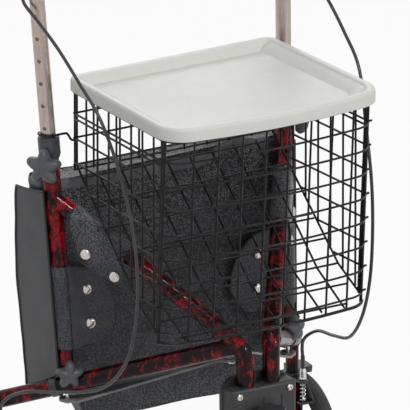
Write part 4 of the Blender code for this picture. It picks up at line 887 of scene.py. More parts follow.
@dataclass
class SideFrame:
    """The welded tubes of one side frame, with the cable's band and the collar."""

    side: Side
    knee_radius: float = 0.05
    bore: float = 0.0115
    reach: float = 0.135
    bead: float = 0.0012
    band_half: float = 0.0065
    band_radius: float = 0.0143
    collar_half: float = 0.016
    collar_radius: float = 0.0158

    def ride(self, form: Form, name: str, finish: Finish, *nodes: str) -> None:
        """Makes a piece that rides on the frame."""
        form.ride(self.side(name), finish, self.side("frame"), *map(self.side, nodes))

    def joint(self, form: Form, way: Vector, line: Sequence[Vector], name: str, node: str) -> None:
        """Ends a tube with a weld bead on another one's surface, and makes it a piece."""
        form.fit(0, lambda point: leave(point, way, line, LAY.frame_radius)).weld(self.bead)
        self.ride(form, name, RED, node)

    def build(self) -> None:
        """Makes the tubes, their weld beads and plugs, the band and the collar."""
        side, radius, axis = self.side, LAY.frame_radius, LAY.upright_way(self.side)
        corners = [LAY.upright(side, LAY.diagonal_top), LAY.hinge(side, LAY.diagonal_knee), LAY.hinge(side, 0.24)]
        run = rounded_path(corners, self.knee_radius, 18)
        foot, top = LAY.upright(side, LAY.post_foot), LAY.upright(side, 0.66)
        post_line = [LAY.upright(side, 0.2), LAY.upright(side, 0.7)]
        low_line = [LAY.lower(side, -0.3), LAY.lower(side, self.reach)]
        low_way = (low_line[1] - low_line[0]).normalized()
        tube = Form().tube(run, radius, 48)
        self.joint(tube, (run[1] - run[0]).normalized(), post_line, "diagonal_tube", "front_tube")
        length = (top - foot).length
        profile = [(radius, 0), (radius, length - 0.0008), (radius - 0.0005, length),
                   (self.bore + 0.0004, length), (self.bore, length - 0.0008), (self.bore, length - 0.1)]
        tube = Form().turned(profile, along(foot, axis), 48, False)
        self.joint(tube, axis, low_line, "upright_post", "upright")
        tube = Form().tube([LAY.hinge(side, LAY.rail_head) + low_way * 0.01, low_line[1]], radius - 0.0001, 48)
        self.joint(tube, low_way, run, "lower_rail", "lower_tube")
        profile = [(radius - 0.003, -0.002), (radius - 0.0004, -0.001), (radius + 0.0003, 0.0006),
                   (radius + 0.0002, 0.002), (radius - 0.002, 0.0036), (radius - 0.006, 0.0042)]
        plug = Form().turned(profile, along(low_line[1] - low_way * 0.0036, low_way), 40, False)
        self.ride(plug, "rail_plug", BLACK)
        tube = Form().tube([LAY.leg(side, LAY.lower(side, 0.12).z), LAY.leg(side, 0.074)], LAY.leg_radius, 40)
        self.joint(tube, -UP, low_line, "rear_leg", "leg")
        x, y, z = LAY.link_outer
        x *= side.value
        under = z - 0.0023
        pin = Form().rod(vec(x, y, under - 0.001), vec(x, y, LAY.lower(side, 0).z - radius * 0.6), 0.0032)
        pin.turned([(0, -0.004), (0.0048, -0.0036), (0.0065, -0.0018), (0.0065, 0)],
                   Matrix.Translation((x, y, under)), 32, False)
        self.ride(pin, "link_pin", STEEL)
        half, place = self.band_half, along(LAY.lower(side, 0.02), low_way)
        self.ride(Form().sleeve(radius, self.band_radius, -half, half, 0.0005, place), "cable_band", BLACK)
        half, wide, gap = self.collar_half, self.collar_radius, LAY.clearance
        inner, outer = LAY.handle_radius + gap, radius + gap
        profile = [(inner, half - 0.0006), (inner + 0.0006, half), (wide - 0.0018, half),
                   (wide - 0.0006, half - 0.0006), (wide, half - 0.002), (wide, half - 0.005),
                   (wide - 0.0003, half - 0.0054), (wide, half - 0.0058), (wide, -half + 0.006),
                   (wide - 0.0018, -half + 0.0004), (wide - 0.0022, -half), (outer, -half), (outer, 0.011),
                   (inner, 0.011)]
        self.ride(Form().turned(profile, along(LAY.upright(side, LAY.collar_z), axis), 56), "height_collar", SLATE,
                  "collar")


@dataclass
class StarKnob:
    """A five-lobed star knob on its bolt."""

    side: Side
    kind: str
    seat: Vector
    way: Vector
    face: float
    radius: float
    depth: float = 0.02
    lobes: int = 5

    def ring(self, place: Matrix, scale: float, height: float) -> list[Vector]:
        """Lists the lobed outline at a scale and a height."""
        points = []
        for turn in circle(self.lobes * 18):
            wave = (0.5 + 0.5 * cos(self.lobes * turn)) ** 0.85
            points.append(place @ vec(*polar(self.radius * scale * (0.6 + 0.4 * wave), turn), height))
        return points

    def build(self) -> None:
        """Makes the knob with its shank, face recess and bolt."""
        side, place, low = self.side, along(self.seat, self.way), self.face - self.depth
        stations = ((0.4, 0.03), (0.78, 0), (0.84, 0.02), (0.985, 0.26), (1, 0.34), (0.985, 0.48), (0.94, 0.62),
                    (0.84, 0.77), (0.66, 0.9), (0.42, 0.97), (0.18, 1), (0.02, 1))
        form = Form().loft([self.ring(place, scale, low + self.depth * share) for scale, share in stations])
        shank = [(0.0052, 0.016), (0.0052, low - 0.004), (self.radius * 0.42, low - 0.001),
                 (self.radius * 0.5, low + 0.002)]
        if low < 0.018:
            shank = [(0.0052, 0.0128), shank[-1]]
        body = side(self.kind + "_knob")
        form.turned(shank, place, 36, False).ride(side(self.kind + "_star"), GREY, body, body, sharp=30)
        bolt = Form().rod(self.seat + self.way * 0.0112, self.seat + self.way * (low + 0.002), 0.003)
        bolt.ride(side(self.kind + "_star_bolt"), BLACK_BOLT, body)


@dataclass
class Handle:
    """A height-set handle with its grip, brake housing and lever."""

    side: Side
    bend_radius: float = 0.045
    grip_start: float = 0.062
    grip_length: float = 0.112
    grip_radius: float = 0.0165
    hole_first: float = 0.68
    hole_pitch: float = 0.033
    hole_count: int = 6
    hole_radius: float = 0.0028
    lever_radius: float = 0.0045

    def __post_init__(self) -> None:
        """Finds the handle's bend and the directions of its grip."""
        self.bend, self.back = LAY.upright(self.side, LAY.bend_z), LAY.grip_way(self.side)
        down = -UP
        self.down = (down - down.dot(self.back) * self.back).normalized()
        self.across = self.back.cross(self.down)
        self.body = self.side("handle")

    def build(self) -> None:
        """Makes the handle's pieces."""
        self.build_tube()
        self.build_grip()
        self.build_housing()
        self.build_lever()

    def build_tube(self) -> None:
        """Makes the bent tube with its row of setting holes."""
        side = self.side
        end = self.bend + self.back * (self.grip_start + self.grip_length - 0.004)
        path = rounded_path([LAY.upright(side, 0.52), self.bend, end], self.bend_radius, 24)
        tube = Form().tube(path, LAY.handle_radius, 48).piece(side("handle_bar"), BRONZE)
        way = LAY.outboard(side)
        holes = Form()
        for index in range(self.hole_count):
            centre = LAY.upright(side, self.hole_first + self.hole_pitch * index)
            holes.rod(centre - way * 0.02, centre + way * 0.02, self.hole_radius, 24)
        settle(carve(tube, holes), self.body, side("handle_tube"))

    def build_grip(self) -> None:
        """Makes the moulded grip with its flange and finger waves."""
        place = along(self.bend + self.back * self.grip_start, self.back, self.down)
        wide, long = self.grip_radius, self.grip_length
        stations = [(0, LAY.handle_radius + LAY.clearance, 0), (0, wide + 0.0034, 0), (0.0008, wide + 0.004, 0),
                    (0.0032, wide + 0.004, 0), (0.0042, wide + 0.0028, 0), (0.0052, wide - 0.0004, 0)]
        stations += [(0.0052 + (long - 0.0095) * step / 46, wide, step / 46) for step in range(1, 46)]
        stations += [(long - 0.003, wide - 0.0002, 0), (long - 0.0008, wide - 0.0022, 0), (long, wide - 0.005, 0),
                     (long, 0.002, 0)]
        rings = []
        for height, radius, share in stations:
            ring = []
            for turn in circle(48):
                reach = radius
                if share:
                    under = max(cos(turn), 0) ** 1.5
                    rib = 0.00035 * cos(turn * 24) if 0.1 < share < 0.9 else 0
                    reach += -0.001 * under * cos(2 * pi * share * 4) + rib - 0.0003
                ring.append(place @ vec(*polar(reach, turn), height))
            rings.append(ring)
        Form().loft(rings).ride(self.side("hand_grip"), GRIP, self.body, self.side("grip"), sharp=50)

    def build_housing(self) -> None:
        """Makes the clamp, the horn with its two cheeks and the cable stop."""
        side, back, down, across = self.side, self.back, self.down, self.across
        start = self.bend + back * LAY.stop_reach
        inner, length = LAY.handle_radius + LAY.clearance, self.grip_start - 0.002 - LAY.stop_reach
        form = Form().sleeve(inner, LAY.handle_radius + 0.0055, 0, length, 0.001, along(start, back), 56)
        low = start + down * 0.034
        cheeks = [(-0.0015, 0.014), (0.0135, 0.014), (0.015, 0.024)]
        cheeks += arc((0.008, 0.038), 0.0072, -20, 120, 10) + [(-0.001, 0.038)]
        plane = Matrix((back, down, across)).transposed().to_4x4()
        for sign in (-1, 1):
            form.slab(cheeks, 0.0024, Matrix.Translation(start + across * sign * 0.0062) @ plane, 0.0006)
        form.rod(start + back * 0.007 + down * 0.012, low + back * 0.001 - down * 0.006, 0.0068, 28, 0.001)
        stop = [(0.0034, 0), (0.0046, 0.0012), (0.0046, 0.0075), (0.004, 0.008), (0.0046, 0.0085), (0.005, 0.012)]
        form.turned(stop, along(low - back * 0.01, back), 32, False)
        form.ride(side("lever_mount"), BLACK, self.body, side("brake_housing"))
        pivot = low + back * 0.007 + down * 0.0043
        screw = start + back * 0.007 + across * 0.014
        pin = Form().rod(pivot - across * 0.0082, pivot + across * 0.0082, 0.0024, 24, 0.0006)
        pin.rod(screw - down * 0.008, screw + down * 0.006, 0.0024, 6)
        pin.ride(side("lever_pin"), STEEL, self.body)

    def build_lever(self) -> None:
        """Makes the looped lever that hangs under the grip."""
        side, back, down = self.side, self.back, self.down
        pivot = self.bend + back * 0.053 + down * 0.0383
        reach = self.grip_start + self.grip_length - 0.058
        loop = [pivot + back * 0.004] + [pivot + back * out + down * drop for out, drop in (
            (0.018, 0.002), (0.035, 0.01), (reach - 0.01, 0.014), (reach, 0.004))]
        form = Form().wire(smooth_path(loop, 60), self.lever_radius, 24)
        form.turned([(0.0066, -0.004), (0.0075, -0.0034), (0.0075, 0.0034), (0.0066, 0.004)],
                    along(pivot, self.across), 36, False)
        form.ride(side("brake_loop"), BLACK, side("lever"), side("brake_lever"))


@dataclass
class Basket:
    """The hanging wire basket, one welded grille for each wall."""

    wire: float = 0.0016
    rim_wire: float = 0.0024
    bite: float = 0.0019
    top: float = 0.731
    bottom: float = 0.424
    back_y: float = 0.0582
    post_y: float = -0.1955
    front_y: float = -0.2175
    lean: float = 0.06
    back_half: float = 0.1646
    front_half: float = 0.1718
    corner_x: float = 0.133
    bow: float = 0.01
    first_drop: float = 0.0325
    pitch: float = 0.037
    count: int = 8
    knee_z: float = 0.621
    floor_knee_y: float = -0.12
    floor_knee_z: float = 0.464
    floor_pitch: float = 0.0377
    double_drop: float = 0.0075
    nub: float = 0.004

    def __post_init__(self) -> None:
        """Finds the heights at which the standing wires end."""
        self.crest, self.sole = self.top + self.rim_wire * 0.5, self.bottom - self.rim_wire * 0.5

    def levels(self) -> list[float]:
        """Lists the heights of the level wires under the rim."""
        return [self.top - self.first_drop - self.pitch * index for index in range(self.count)]

    def leant(self, height: float) -> float:
        """Returns how far the front has leant back at a height."""
        return (self.top - height) * self.lean

    def half(self, y: float) -> float:
        """Returns the half width at a distance along."""
        return between(y, self.back_y, self.post_y, self.back_half, self.front_half)

    def rear_y(self, height: float) -> float:
        """Returns how far back the basket reaches at a height."""
        if height >= self.knee_z:
            return self.back_y
        if height >= self.floor_knee_z:
            return between(height, self.knee_z, self.floor_knee_z, self.back_y, self.floor_knee_y)
        return between(height, self.floor_knee_z, self.bottom, self.floor_knee_y, self.post_y)

    def floor_z(self, y: float) -> float:
        """Returns the height of the slanted back and floor at a place."""
        if y >= self.floor_knee_y:
            return between(y, self.back_y, self.floor_knee_y, self.knee_z, self.floor_knee_z)
        return between(y, self.floor_knee_y, self.post_y, self.floor_knee_z, self.bottom)

    def bowed(self, x: float) -> float:
        """Returns where the bowed front lies at a distance from the middle."""
        return self.front_y - self.bow * (1 - (x / self.corner_x) ** 2)

    def hoop(self, height: float) -> list[Vector]:
        """Lists the points of a wire round the front, between the front posts."""
        back = self.leant(height)
        across = self.front_half - self.corner_x
        swing = 2 * atan2(self.post_y - self.front_y, across)
        radius = across / sin(swing)
        right = []
        for turn in (swing * (1 - step / 10) for step in range(11)):
            right.append((self.corner_x + radius * sin(turn), self.front_y + radius - radius * cos(turn) + back))
        right += [(x, self.bowed(x) + back) for x in (self.corner_x * (1 - step / 8) for step in range(1, 9))]
        return [vec(x, y, height) for x, y in right + [(-x, y) for x, y in reversed(right[:-1])]]

    def wires_x(self) -> list[float]:
        """Lists the places of the standing wires across the front."""
        step = 2 * self.corner_x / (self.count - 1)
        return [-self.corner_x + step * index for index in range(self.count)]

    def build(self) -> None:
        """Makes the five grilles."""
        sides = [(side.name.lower(), f"{side.name.lower()}_side", self.flank(side)) for side in Side]
        for name, node, form in [("front", "front", self.front()), ("back", "back", self.back()),
                                 ("floor", "floor", self.floor())] + sides:
            form.ride(f"basket_{name}_grille", WIRE, "chassis", f"basket_{node}", sharp=60)

    def front(self) -> Form:
        """Makes the front wall with its round corners and posts."""
        form = Form()
        for height in (self.top, self.bottom):
            form.wire(self.hoop(height), self.rim_wire, 12)
        for height in self.levels():
            line, rear = self.hoop(height), vec(0, self.nub)
            form.wire([line[0] + rear] + line + [line[-1] + rear], self.wire)
            for end, sign in ((line[0], 1), (line[-1], -1)):
                form.wire([end, end + vec(sign * 0.005, 0.001)], self.wire + 0.0002)
        ends = (self.crest, self.sole)
        for x in self.wires_x():
            form.wire([vec(x, self.bowed(x) + self.bite + self.leant(height), height) for height in ends], self.wire)
        for sign in (-1, 1):
            x = sign * (self.front_half - self.bite)
            form.wire([vec(x, self.post_y + self.leant(height), height) for height in ends], self.rim_wire, 12)
        return form

    def flank(self, side: Side) -> Form:
        """Makes one side wall."""
        form, bite, crest = Form(), self.bite, self.crest
        clear = self.rim_wire * 2 + LAY.clearance
        ahead, behind = self.post_y + clear, self.back_y - clear

        def wire(radius: float, sides: int, *ends: tuple[float, float], inset: float = 0, bend: float = 0) -> None:
            """Adds a wire through pairs of Y and Z, with its corners rounded by bend."""
            line = [vec(side.value * (self.half(y) - inset), y, height) for y, height in ends]
            form.wire(rounded_path(line, bend, 6) if bend else line, radius, sides)

        wire(self.rim_wire, 12, (ahead, self.top), (behind, self.top))
        for height in self.levels():
            front, rear = ahead + self.leant(height), min(self.rear_y(height), behind)
            if rear > front:
                wire(self.wire, 10, (front, height), (rear, height))
        low = self.top - self.double_drop - self.first_drop
        wire(self.wire, 10, (ahead, low), (behind, low))
        ends = [(ahead + self.leant(height), height) for height in (crest, self.bottom + 0.012)]
        wire(self.rim_wire, 12, *ends, inset=bite)
        step = (self.back_y - self.post_y) / self.count
        for y in (self.back_y - step * index for index in range(1, self.count)):
            wire(self.wire, 10, (y, crest), (y, self.floor_z(y) + self.rim_wire + self.wire * 0.4), inset=bite)
        low_y = self.post_y + clear + self.leant(self.bottom)
        wire(self.wire, 12, (behind, crest), (behind, self.knee_z), (self.floor_knee_y, self.floor_knee_z),
             (low_y, self.floor_z(low_y)), inset=bite, bend=0.008)
        return form

    def back(self) -> Form:
        """Makes the upright part of the back wall."""
        form, half, y = Form(), self.back_half, self.back_y
        low = self.knee_z - self.double_drop
        heights = [height for height in self.levels() if height > self.knee_z + 0.01] + [self.knee_z, low]
        for height, radius in [(self.top, self.rim_wire)] + [(height, self.wire) for height in heights]:
            form.wire([vec(-half, y, height), vec(half, y, height)], radius, 12)
        low -= self.wire * 0.5
        edge = half - self.rim_wire
        rows = [(x, y - self.bite, 10) for x in self.wires_x()] + [(x, y + self.bite, 12) for x in (-edge, edge)]
        for x, deep, sides in rows:
            form.wire([vec(x, deep, self.crest), vec(x, deep, low)], self.wire, sides)
        return form

    def floor(self) -> Form:
        """Makes the slanted rear wall and the short floor."""
        form = Form()

        def level(point: Vector, half: float) -> None:
            """Adds a level wire across at a point."""
            form.wire([vec(-half, point.y, point.z), vec(half, point.y, point.z)], self.wire)

        start_z = self.knee_z - self.double_drop - self.wire - self.rim_wire - 0.004
        start, knee = vec(0, self.rear_y(start_z), start_z), vec(0, self.floor_knee_y, self.floor_knee_z)
        end_y = self.front_y + self.leant(self.bottom) + self.rim_wire + self.wire + 0.004
        end = vec(0, end_y, self.floor_z(end_y))
        for x in self.wires_x():
            corners = [vec(x, start.y + 0.004, start.z + 0.0035 - self.bite), vec(x, knee.y, knee.z - self.bite),
                       vec(x, end.y, end.z - self.bite)]
            form.wire(rounded_path(corners, 0.01, 6), self.wire)
        slope = knee - start
        count = int(slope.length / self.floor_pitch)
        for index in range(count + 1):
            point = start + slope * (index / count)
            for drop in (0, self.double_drop) if index in (1, 3) else (0,):
                level(point + slope.normalized() * drop, self.half(point.y) - self.bite - self.rim_wire - LAY.clearance)
        level(knee.lerp(end, 0.5), self.half(self.post_y) - 0.012)
        level(knee.lerp(end, 0.95), self.corner_x + 0.006)
        return form


@dataclass
class BasketHook:
    """The wire hook that hangs the basket on a handle."""

    side: Side
    height: float = 0.6696
    wire: float = 0.0018

    def build(self) -> None:
        """Makes the hook with its eye round the basket's back post."""
        side = self.side
        centre, reach = LAY.upright(side, self.height), LAY.handle_radius + 0.0008 + self.wire
        points = [vec(side.value * x, y, self.height - drop) for x, y, drop in (
            (0.1649, 0.0601, 0.012), (0.1672, 0.0626, 0.011), (0.1722, 0.063, 0.003), (0.1775, 0.0615, 0))]
        for turn in map(radians, range(-110, 51, 8)):
            points.append(centre + vec(side.value * reach * cos(turn), reach * sin(turn)))
        form = Form().wire(smooth_path(points, 60), self.wire, 12)
        form.ride(side("hanging_hook"), WIRE, "chassis", side("basket_hook"), sharp=60)


@dataclass
class Tray:
    """The lift-off tray with a deep recess, a rolled rim and a skirt."""

    top: float = 0.754
    skirt: float = 0.02
    back_y: float = 0.0668
    front_y: float = -0.23
    bow: float = 0.0105
    back_half: float = 0.172
    front_half: float = 0.181
    back_corner: float = 0.016
    front_corner: float = 0.045
    wall: float = 0.0028
    rim: float = 0.01
    slope: float = 0.025
    recess: float = 0.0145

    def outline(self, inset: float) -> Pairs:
        """Lists the outline, drawn in by a distance."""
        past = max(inset - self.rim, 0)
        back, front = self.back_y - inset + past * 0.65, self.front_y + inset + past * 0.05
        slope = (self.front_half - self.back_half) / (self.back_y - self.front_y)
        half = []
        for radius, edge, first, sign in ((self.back_corner, back, 90, -1), (self.front_corner, front, 0, 1)):
            radius -= inset * 0.6
            for turn in (radians(first - 90 * step / 16) for step in range(17)):
                y = edge + sign * radius + radius * sin(turn)
                wide = self.back_half - (inset - past * 0.15) + slope * (self.back_y - y)
                half.append((wide - radius + radius * cos(turn), y))
        edge = half[-1][0]
        for x in (edge * (1 - step / 12) for step in range(1, 12)):
            half.append((x, front - self.bow * (1 - (x / edge) ** 2)))
        return half + [(0, front - self.bow)] + [(-x, y) for x, y in reversed(half)]

    def build(self) -> None:
        """Makes the tray's shell with its feet."""
        top, rim, wall = self.top, self.rim, self.wall
        floor, foot, inner = top - self.recess, top - self.skirt, rim + self.slope
        upper = [(0.0006, foot), (0, foot + 0.0006), (0, top - 0.005), (0.0004, top - 0.003), (0.0014, top - 0.0013),
                 (0.0028, top - 0.0003), (0.0045, top), (rim - 0.0015, top), (rim, top - 0.0003),
                 (rim + 0.0016, top - 0.0014), (rim + 0.0034, top - 0.0036)]
        upper += [(rim + self.slope * share, top - self.recess * (share * 0.9 + 0.02)) for share in (0.45, 0.75)]
        upper += [(inner - 0.0014, floor + 0.0013), (inner, floor + 0.0003), (inner + 0.0022, floor)]
        under = [(inner, floor - wall), (rim + 0.001, top - 0.0035 - wall), (wall + 0.003, top - wall),
                 (wall, top - 0.004 - wall), (wall, foot)]
        upper, under = ([[vec(x, y, height) for x, y in self.outline(inset)] for inset, height in levels]
                        for levels in (upper, under))
        form = Form().loft(upper, caps=False).cap(upper[-1])
        form.loft(under + upper[:1], caps=False).cap(under[0]).seal()
        basket = Basket()
        rest = basket.top + basket.rim_wire + LAY.clearance
        for sign in (-1, 1):
            for y in (-0.03, -0.12):
                x = sign * basket.half(y)
                form.block((x - 0.004, y - 0.006, rest), (x + 0.004, y + 0.006, top - 0.0015), 0.0006)
        form.ride("tray_shell", PALE, "tray", "tray", sharp=32)


def vinyl(rows: Sequence[Sequence[Vector]], name: str, finish: Finish, body: str, *nodes: str) -> bpy.types.Object:
    """Thickens a grid of points into a vinyl sheet."""
    form = Form().loft(rows, caps=False, looped=False)
    bmesh.ops.recalc_face_normals(form.work, faces=form.work.faces[:])
    bmesh.ops.solidify(form.work, geom=form.work.faces[:], thickness=SHEET_WALL)
    return form.ride(name, finish, body, *nodes, sharp=50)


def piping(edge: Sequence[Vector], name: str, body: str, radius: float = 0.0019) -> bpy.types.Object:
    """Makes the piping along a sheet's edge."""
    return Form().wire(edge, radius).ride(name, BINDING, body, sharp=60)


def clamped(value: float) -> float:
    """Holds a value between 0 and 1."""
    return min(max(value, 0), 1)


@dataclass
class Pouch:
    """The vinyl pouch between the uprights: a lofted body, a hem and two flat gussets."""

    top: float = 0.6
    waist: float = 0.335
    bottom: float = 0.232
    beside: float = 0.0105
    bottom_half: float = 0.15
    depth: float = 0.082
    behind: float = 0.0131
    front_round: float = 0.01
    rear_round: float = 0.03
    gusset_top: float = 0.588
    gusset_bottom: float = 0.27
    gusset_depth: float = 0.087

    def half_at(self, height: float) -> float:
        """Returns the half width at a height."""
        wide = LAY.upright(Side.LEFT, max(height, self.waist)).x + self.beside
        if height >= self.waist:
            return wide
        share = (self.waist - height) / (self.waist - self.bottom)
        return wide + (self.bottom_half - wide) * share ** 0.62

    def swell(self, height: float) -> float:
        """Returns how deep the pouch is at a height, as a share."""
        drop = (self.top - height) / (self.top - self.bottom)
        if drop < 0.72:
            return 0.55 + 0.45 * sin(pi * min(drop * 1.5, 1) / 2)
        return 1 - 0.62 * ((drop - 0.72) / 0.28) ** 1.6

    def wrinkle(self, point: Vector) -> Vector:
        """Returns how far a point of the fabric is pushed."""
        soft = noise.noise_vector(point * 14) * 0.0018
        return soft + noise.noise_vector(vec(point.x * 9, point.y * 9, point.z * 30)) * 0.0009

    def section(self) -> Pairs:
        """Lists the shares across and deep of the body's outline, from the middle of the front."""
        half, deep, front, rear = 0.2, self.depth, self.front_round, self.rear_round
        lines = [((0, 0), (half - front, 0), 22), ((half, front), (half, deep - rear), 9),
                 ((half - rear, deep), (0, deep), 16)]
        corners = [arc((half - front, front), front, -90, 0, 5), arc((half - rear, deep - rear), rear, 0, 90, 7), []]
        right = []
        for (first, last, steps), corner in zip(lines, corners):
            for share in (step / steps for step in range(steps + 1)):
                right.append(tuple(start + (end - start) * share for start, end in zip(first, last)))
            right += corner[1:-1]
        shares = [(x / half, y / deep) for x, y in right]
        return shares + [(-across, deep) for across, deep in reversed(shares[1:-1])]

    def point(self, across: float, deep: float, down: float) -> Vector:
        """Returns a point of the shell, by its shares of the half width, of the depth and of the way down."""
        hump = exp(-((across - 0.56) / 0.15) ** 2) * 0.013
        top = self.top - 0.002 - 0.01 * (1 - across * across) + hump
        height = top + (self.bottom - top) * down
        front = LAY.upright(Side.LEFT, height).y + self.behind
        point = vec(across * self.half_at(height), front + self.depth * self.swell(height) * deep, height)
        return point + self.wrinkle(point) * min(down * 8, 1)

    def gather(self, thing: bpy.types.Object) -> bpy.types.Object:
        """Gives a piece of the pouch its own mesh."""
        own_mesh(thing)
        return thing

    def build(self) -> None:
        """Makes the body, the hem and the gussets."""
        section = self.section()
        rings = [[self.point(across, deep, row / 64) for across, deep in section] for row in range(65)]
        form = Form().loft(rings, caps=False).cap(rings[-1])
        form.cap([point - vec(0, 0, 0.006) for point in rings[0]]).seal()
        self.gather(form.ride("pouch_body", VINYL, "chassis", "pouch", sharp=60))
        rows = []
        for level in (0, 0.2, 0.4, 0.6, 0.8, 1):
            ring = []
            for across, deep in section:
                top, low = self.point(across, deep, 0), self.point(across, deep, 0.042)
                out = vec(across, (deep - 0.5) * 1.2).normalized()
                ring.append(top.lerp(low, level) + out * 0.0013 * (0.5 + sin(pi * level)))
            rows.append(ring)
        self.gather(Form().loft(rows, caps=False).ride("pouch_hem", HEM_VINYL, "chassis", sharp=60))
        for side in Side:
            self.build_gusset(side)

    def gusset_point(self, side: Side, share: float, height: float) -> Vector:
        """Returns a point of a gusset, by its share of the way back."""
        low, drop = clamped((0.32 - height) / 0.034), clamped((0.56 - height) / 0.12)
        first = 0.052 * low * low * (3 - 2 * low)
        last = self.gusset_depth + 0.017 * drop - 0.01 * max((height - 0.545) / 0.043, 0) ** 2
        reach = first + (last - first) * share
        dip = 0.014 * share ** 0.6 * max((height - 0.5) / 0.088, 0)
        out = LAY.frame_radius + 0.0042 - 0.004 * (reach / self.gusset_depth) ** 2
        point = LAY.upright(side, height) + vec(side.value * out, reach - 0.001, -dip)
        return point + self.wrinkle(point) * min(share * 4, 1) * 0.8

    def build_gusset(self, side: Side) -> None:
        """Makes a flat side panel with piped edges, outside the upright."""
        span = self.gusset_top - self.gusset_bottom
        rows = [[self.gusset_point(side, column / 16, self.gusset_bottom + span * row / 40) for column in range(17)]
                for row in range(41)]
        panel = self.gather(vinyl(rows, side("pouch_gusset"), FLAT_VINYL, "chassis"))
        edge = [row[0] for row in rows] + rows[-1][1:] + [row[-1] for row in reversed(rows[:-1])]
        border = self.gather(piping(edge, side("gusset_piping"), "chassis"))


@dataclass
class Flaps:
    """The two vinyl flaps that hold the pouch on one side frame."""

    side: Side
    bottom: float = 0.353
    top: float = 0.475

    def __post_init__(self) -> None:
        """Finds the flaps' body and how far they lie from a tube's axis."""
        self.frame = self.side("frame")
        self.radius = LAY.frame_radius + LAY.clearance + SHEET_WALL

    def build(self) -> None:
        """Makes both flaps with their studs."""
        self.build_upper()
        self.build_lower()

    def studs(self, name: str, way: Vector, centres: Sequence[Vector]) -> bpy.types.Object:
        """Makes domed press studs that face a way."""
        wide, rise = 0.008, 0.0032
        profile = [(wide, 0), (wide, 0.0006), (wide * 0.9, rise * 0.5), (wide * 0.72, rise * 0.82),
                   (wide * 0.45, rise), (0.0004, rise * 1.05)]
        form = Form()
        for centre in centres:
            form.turned(profile, along(centre, way), 32, False)
        return form.ride(self.side(name), PEWTER, self.frame)

    def build_upper(self) -> None:
        """Makes the saddle over the diagonal."""
        side, radius = self.side, self.radius
        start, out = LAY.upright(side, LAY.diagonal_top), LAY.outboard(side)
        way = (LAY.hinge(side, LAY.diagonal_knee) - start).normalized()
        above = out.cross(way)
        if above.z < 0:
            above = -above
        rows = []
        for share in (step / 24 for step in range(25)):
            centre = start + way * (0.034 + 0.1 * share)
            hang = 0.05 + 0.006 * sin(pi * share) - 0.03 * max(0.16 - share, 0) / 0.16
            row = [centre + (out * sin(angle) + above * cos(angle)) * radius
                   for angle in map(radians, range(-150, 91, 10))]
            for fall in (hang * drop / 14 for drop in range(1, 15)):
                row.append(centre + out * (radius + 0.0012 * sin(fall * 90)) - UP * fall)
            rows.append([point + noise.noise_vector(point * 30) * 0.0008 for point in row])
        saddle = vinyl(rows, side("saddle_flap"), FLAP_VINYL, self.frame, side("upper_flap"))
        edge = rows[0][20:] + [row[-1] for row in rows] + rows[-1][:19:-1]
        border = piping(edge, side("saddle_piping"), self.frame)
        centres = [start + way * distance + out * (radius + 0.0016) - UP * 0.038 for distance in (0.0655, 0.118)]
        side("front_tube")
        self.studs("saddle_studs", out, centres)

    def build_lower(self) -> None:
        """Makes the wrap round the upright and its D-shaped tongue on the pouch."""
        side, radius, sign = self.side, self.radius, self.side.value
        rows, tongue = [], []
        for share in (step / 28 for step in range(29)):
            height = self.bottom + (self.top - self.bottom) * share
            centre = LAY.upright(side, height)
            rows.append([centre + vec(-sign * cos(angle), sin(angle)) * radius
                         for angle in map(radians, range(-262, -77, 8))][::-1])
            reach = 0.012 + 0.075 * sqrt(max(1 - (2 * share - 1) ** 2, 0)) ** 0.8
            line = []
            for part in (index / 14 for index in range(15)):
                inward, level = 0.0035 + reach * part, height - 0.26 * reach * part
                ahead = -sqrt(radius ** 2 - min(inward, 0.0068) ** 2)
                ahead = min(ahead + 0.5 * max(inward - 0.0068, 0), 0.0045)
                line.append(vec(centre.x - sign * inward, LAY.upright(side, level).y + ahead, level))
            tongue.append(line)
        wrap = vinyl(rows, side("upright_wrap"), FLAP_VINYL, self.frame, side("lower_flap"))
        side("upright")
        flap = vinyl(tongue, side("pouch_tongue"), FLAP_VINYL, self.frame)
        edge = tongue[0][1:-1] + [line[-1] for line in tongue] + tongue[-1][-2:0:-1]
        centres = [vec(sign * x, LAY.upright(side, height).y + 0.0022, height)
                   for height, x in ((0.43, 0.1455), (0.379, 0.1415))]
        trim = [piping(edge, side("tongue_piping"), self.frame, 0.002),
                self.studs("tongue_studs", vec(sign * 0.2, -1), centres)]
        for piece in [flap] + trim:
            side("fold")
            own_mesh(piece)


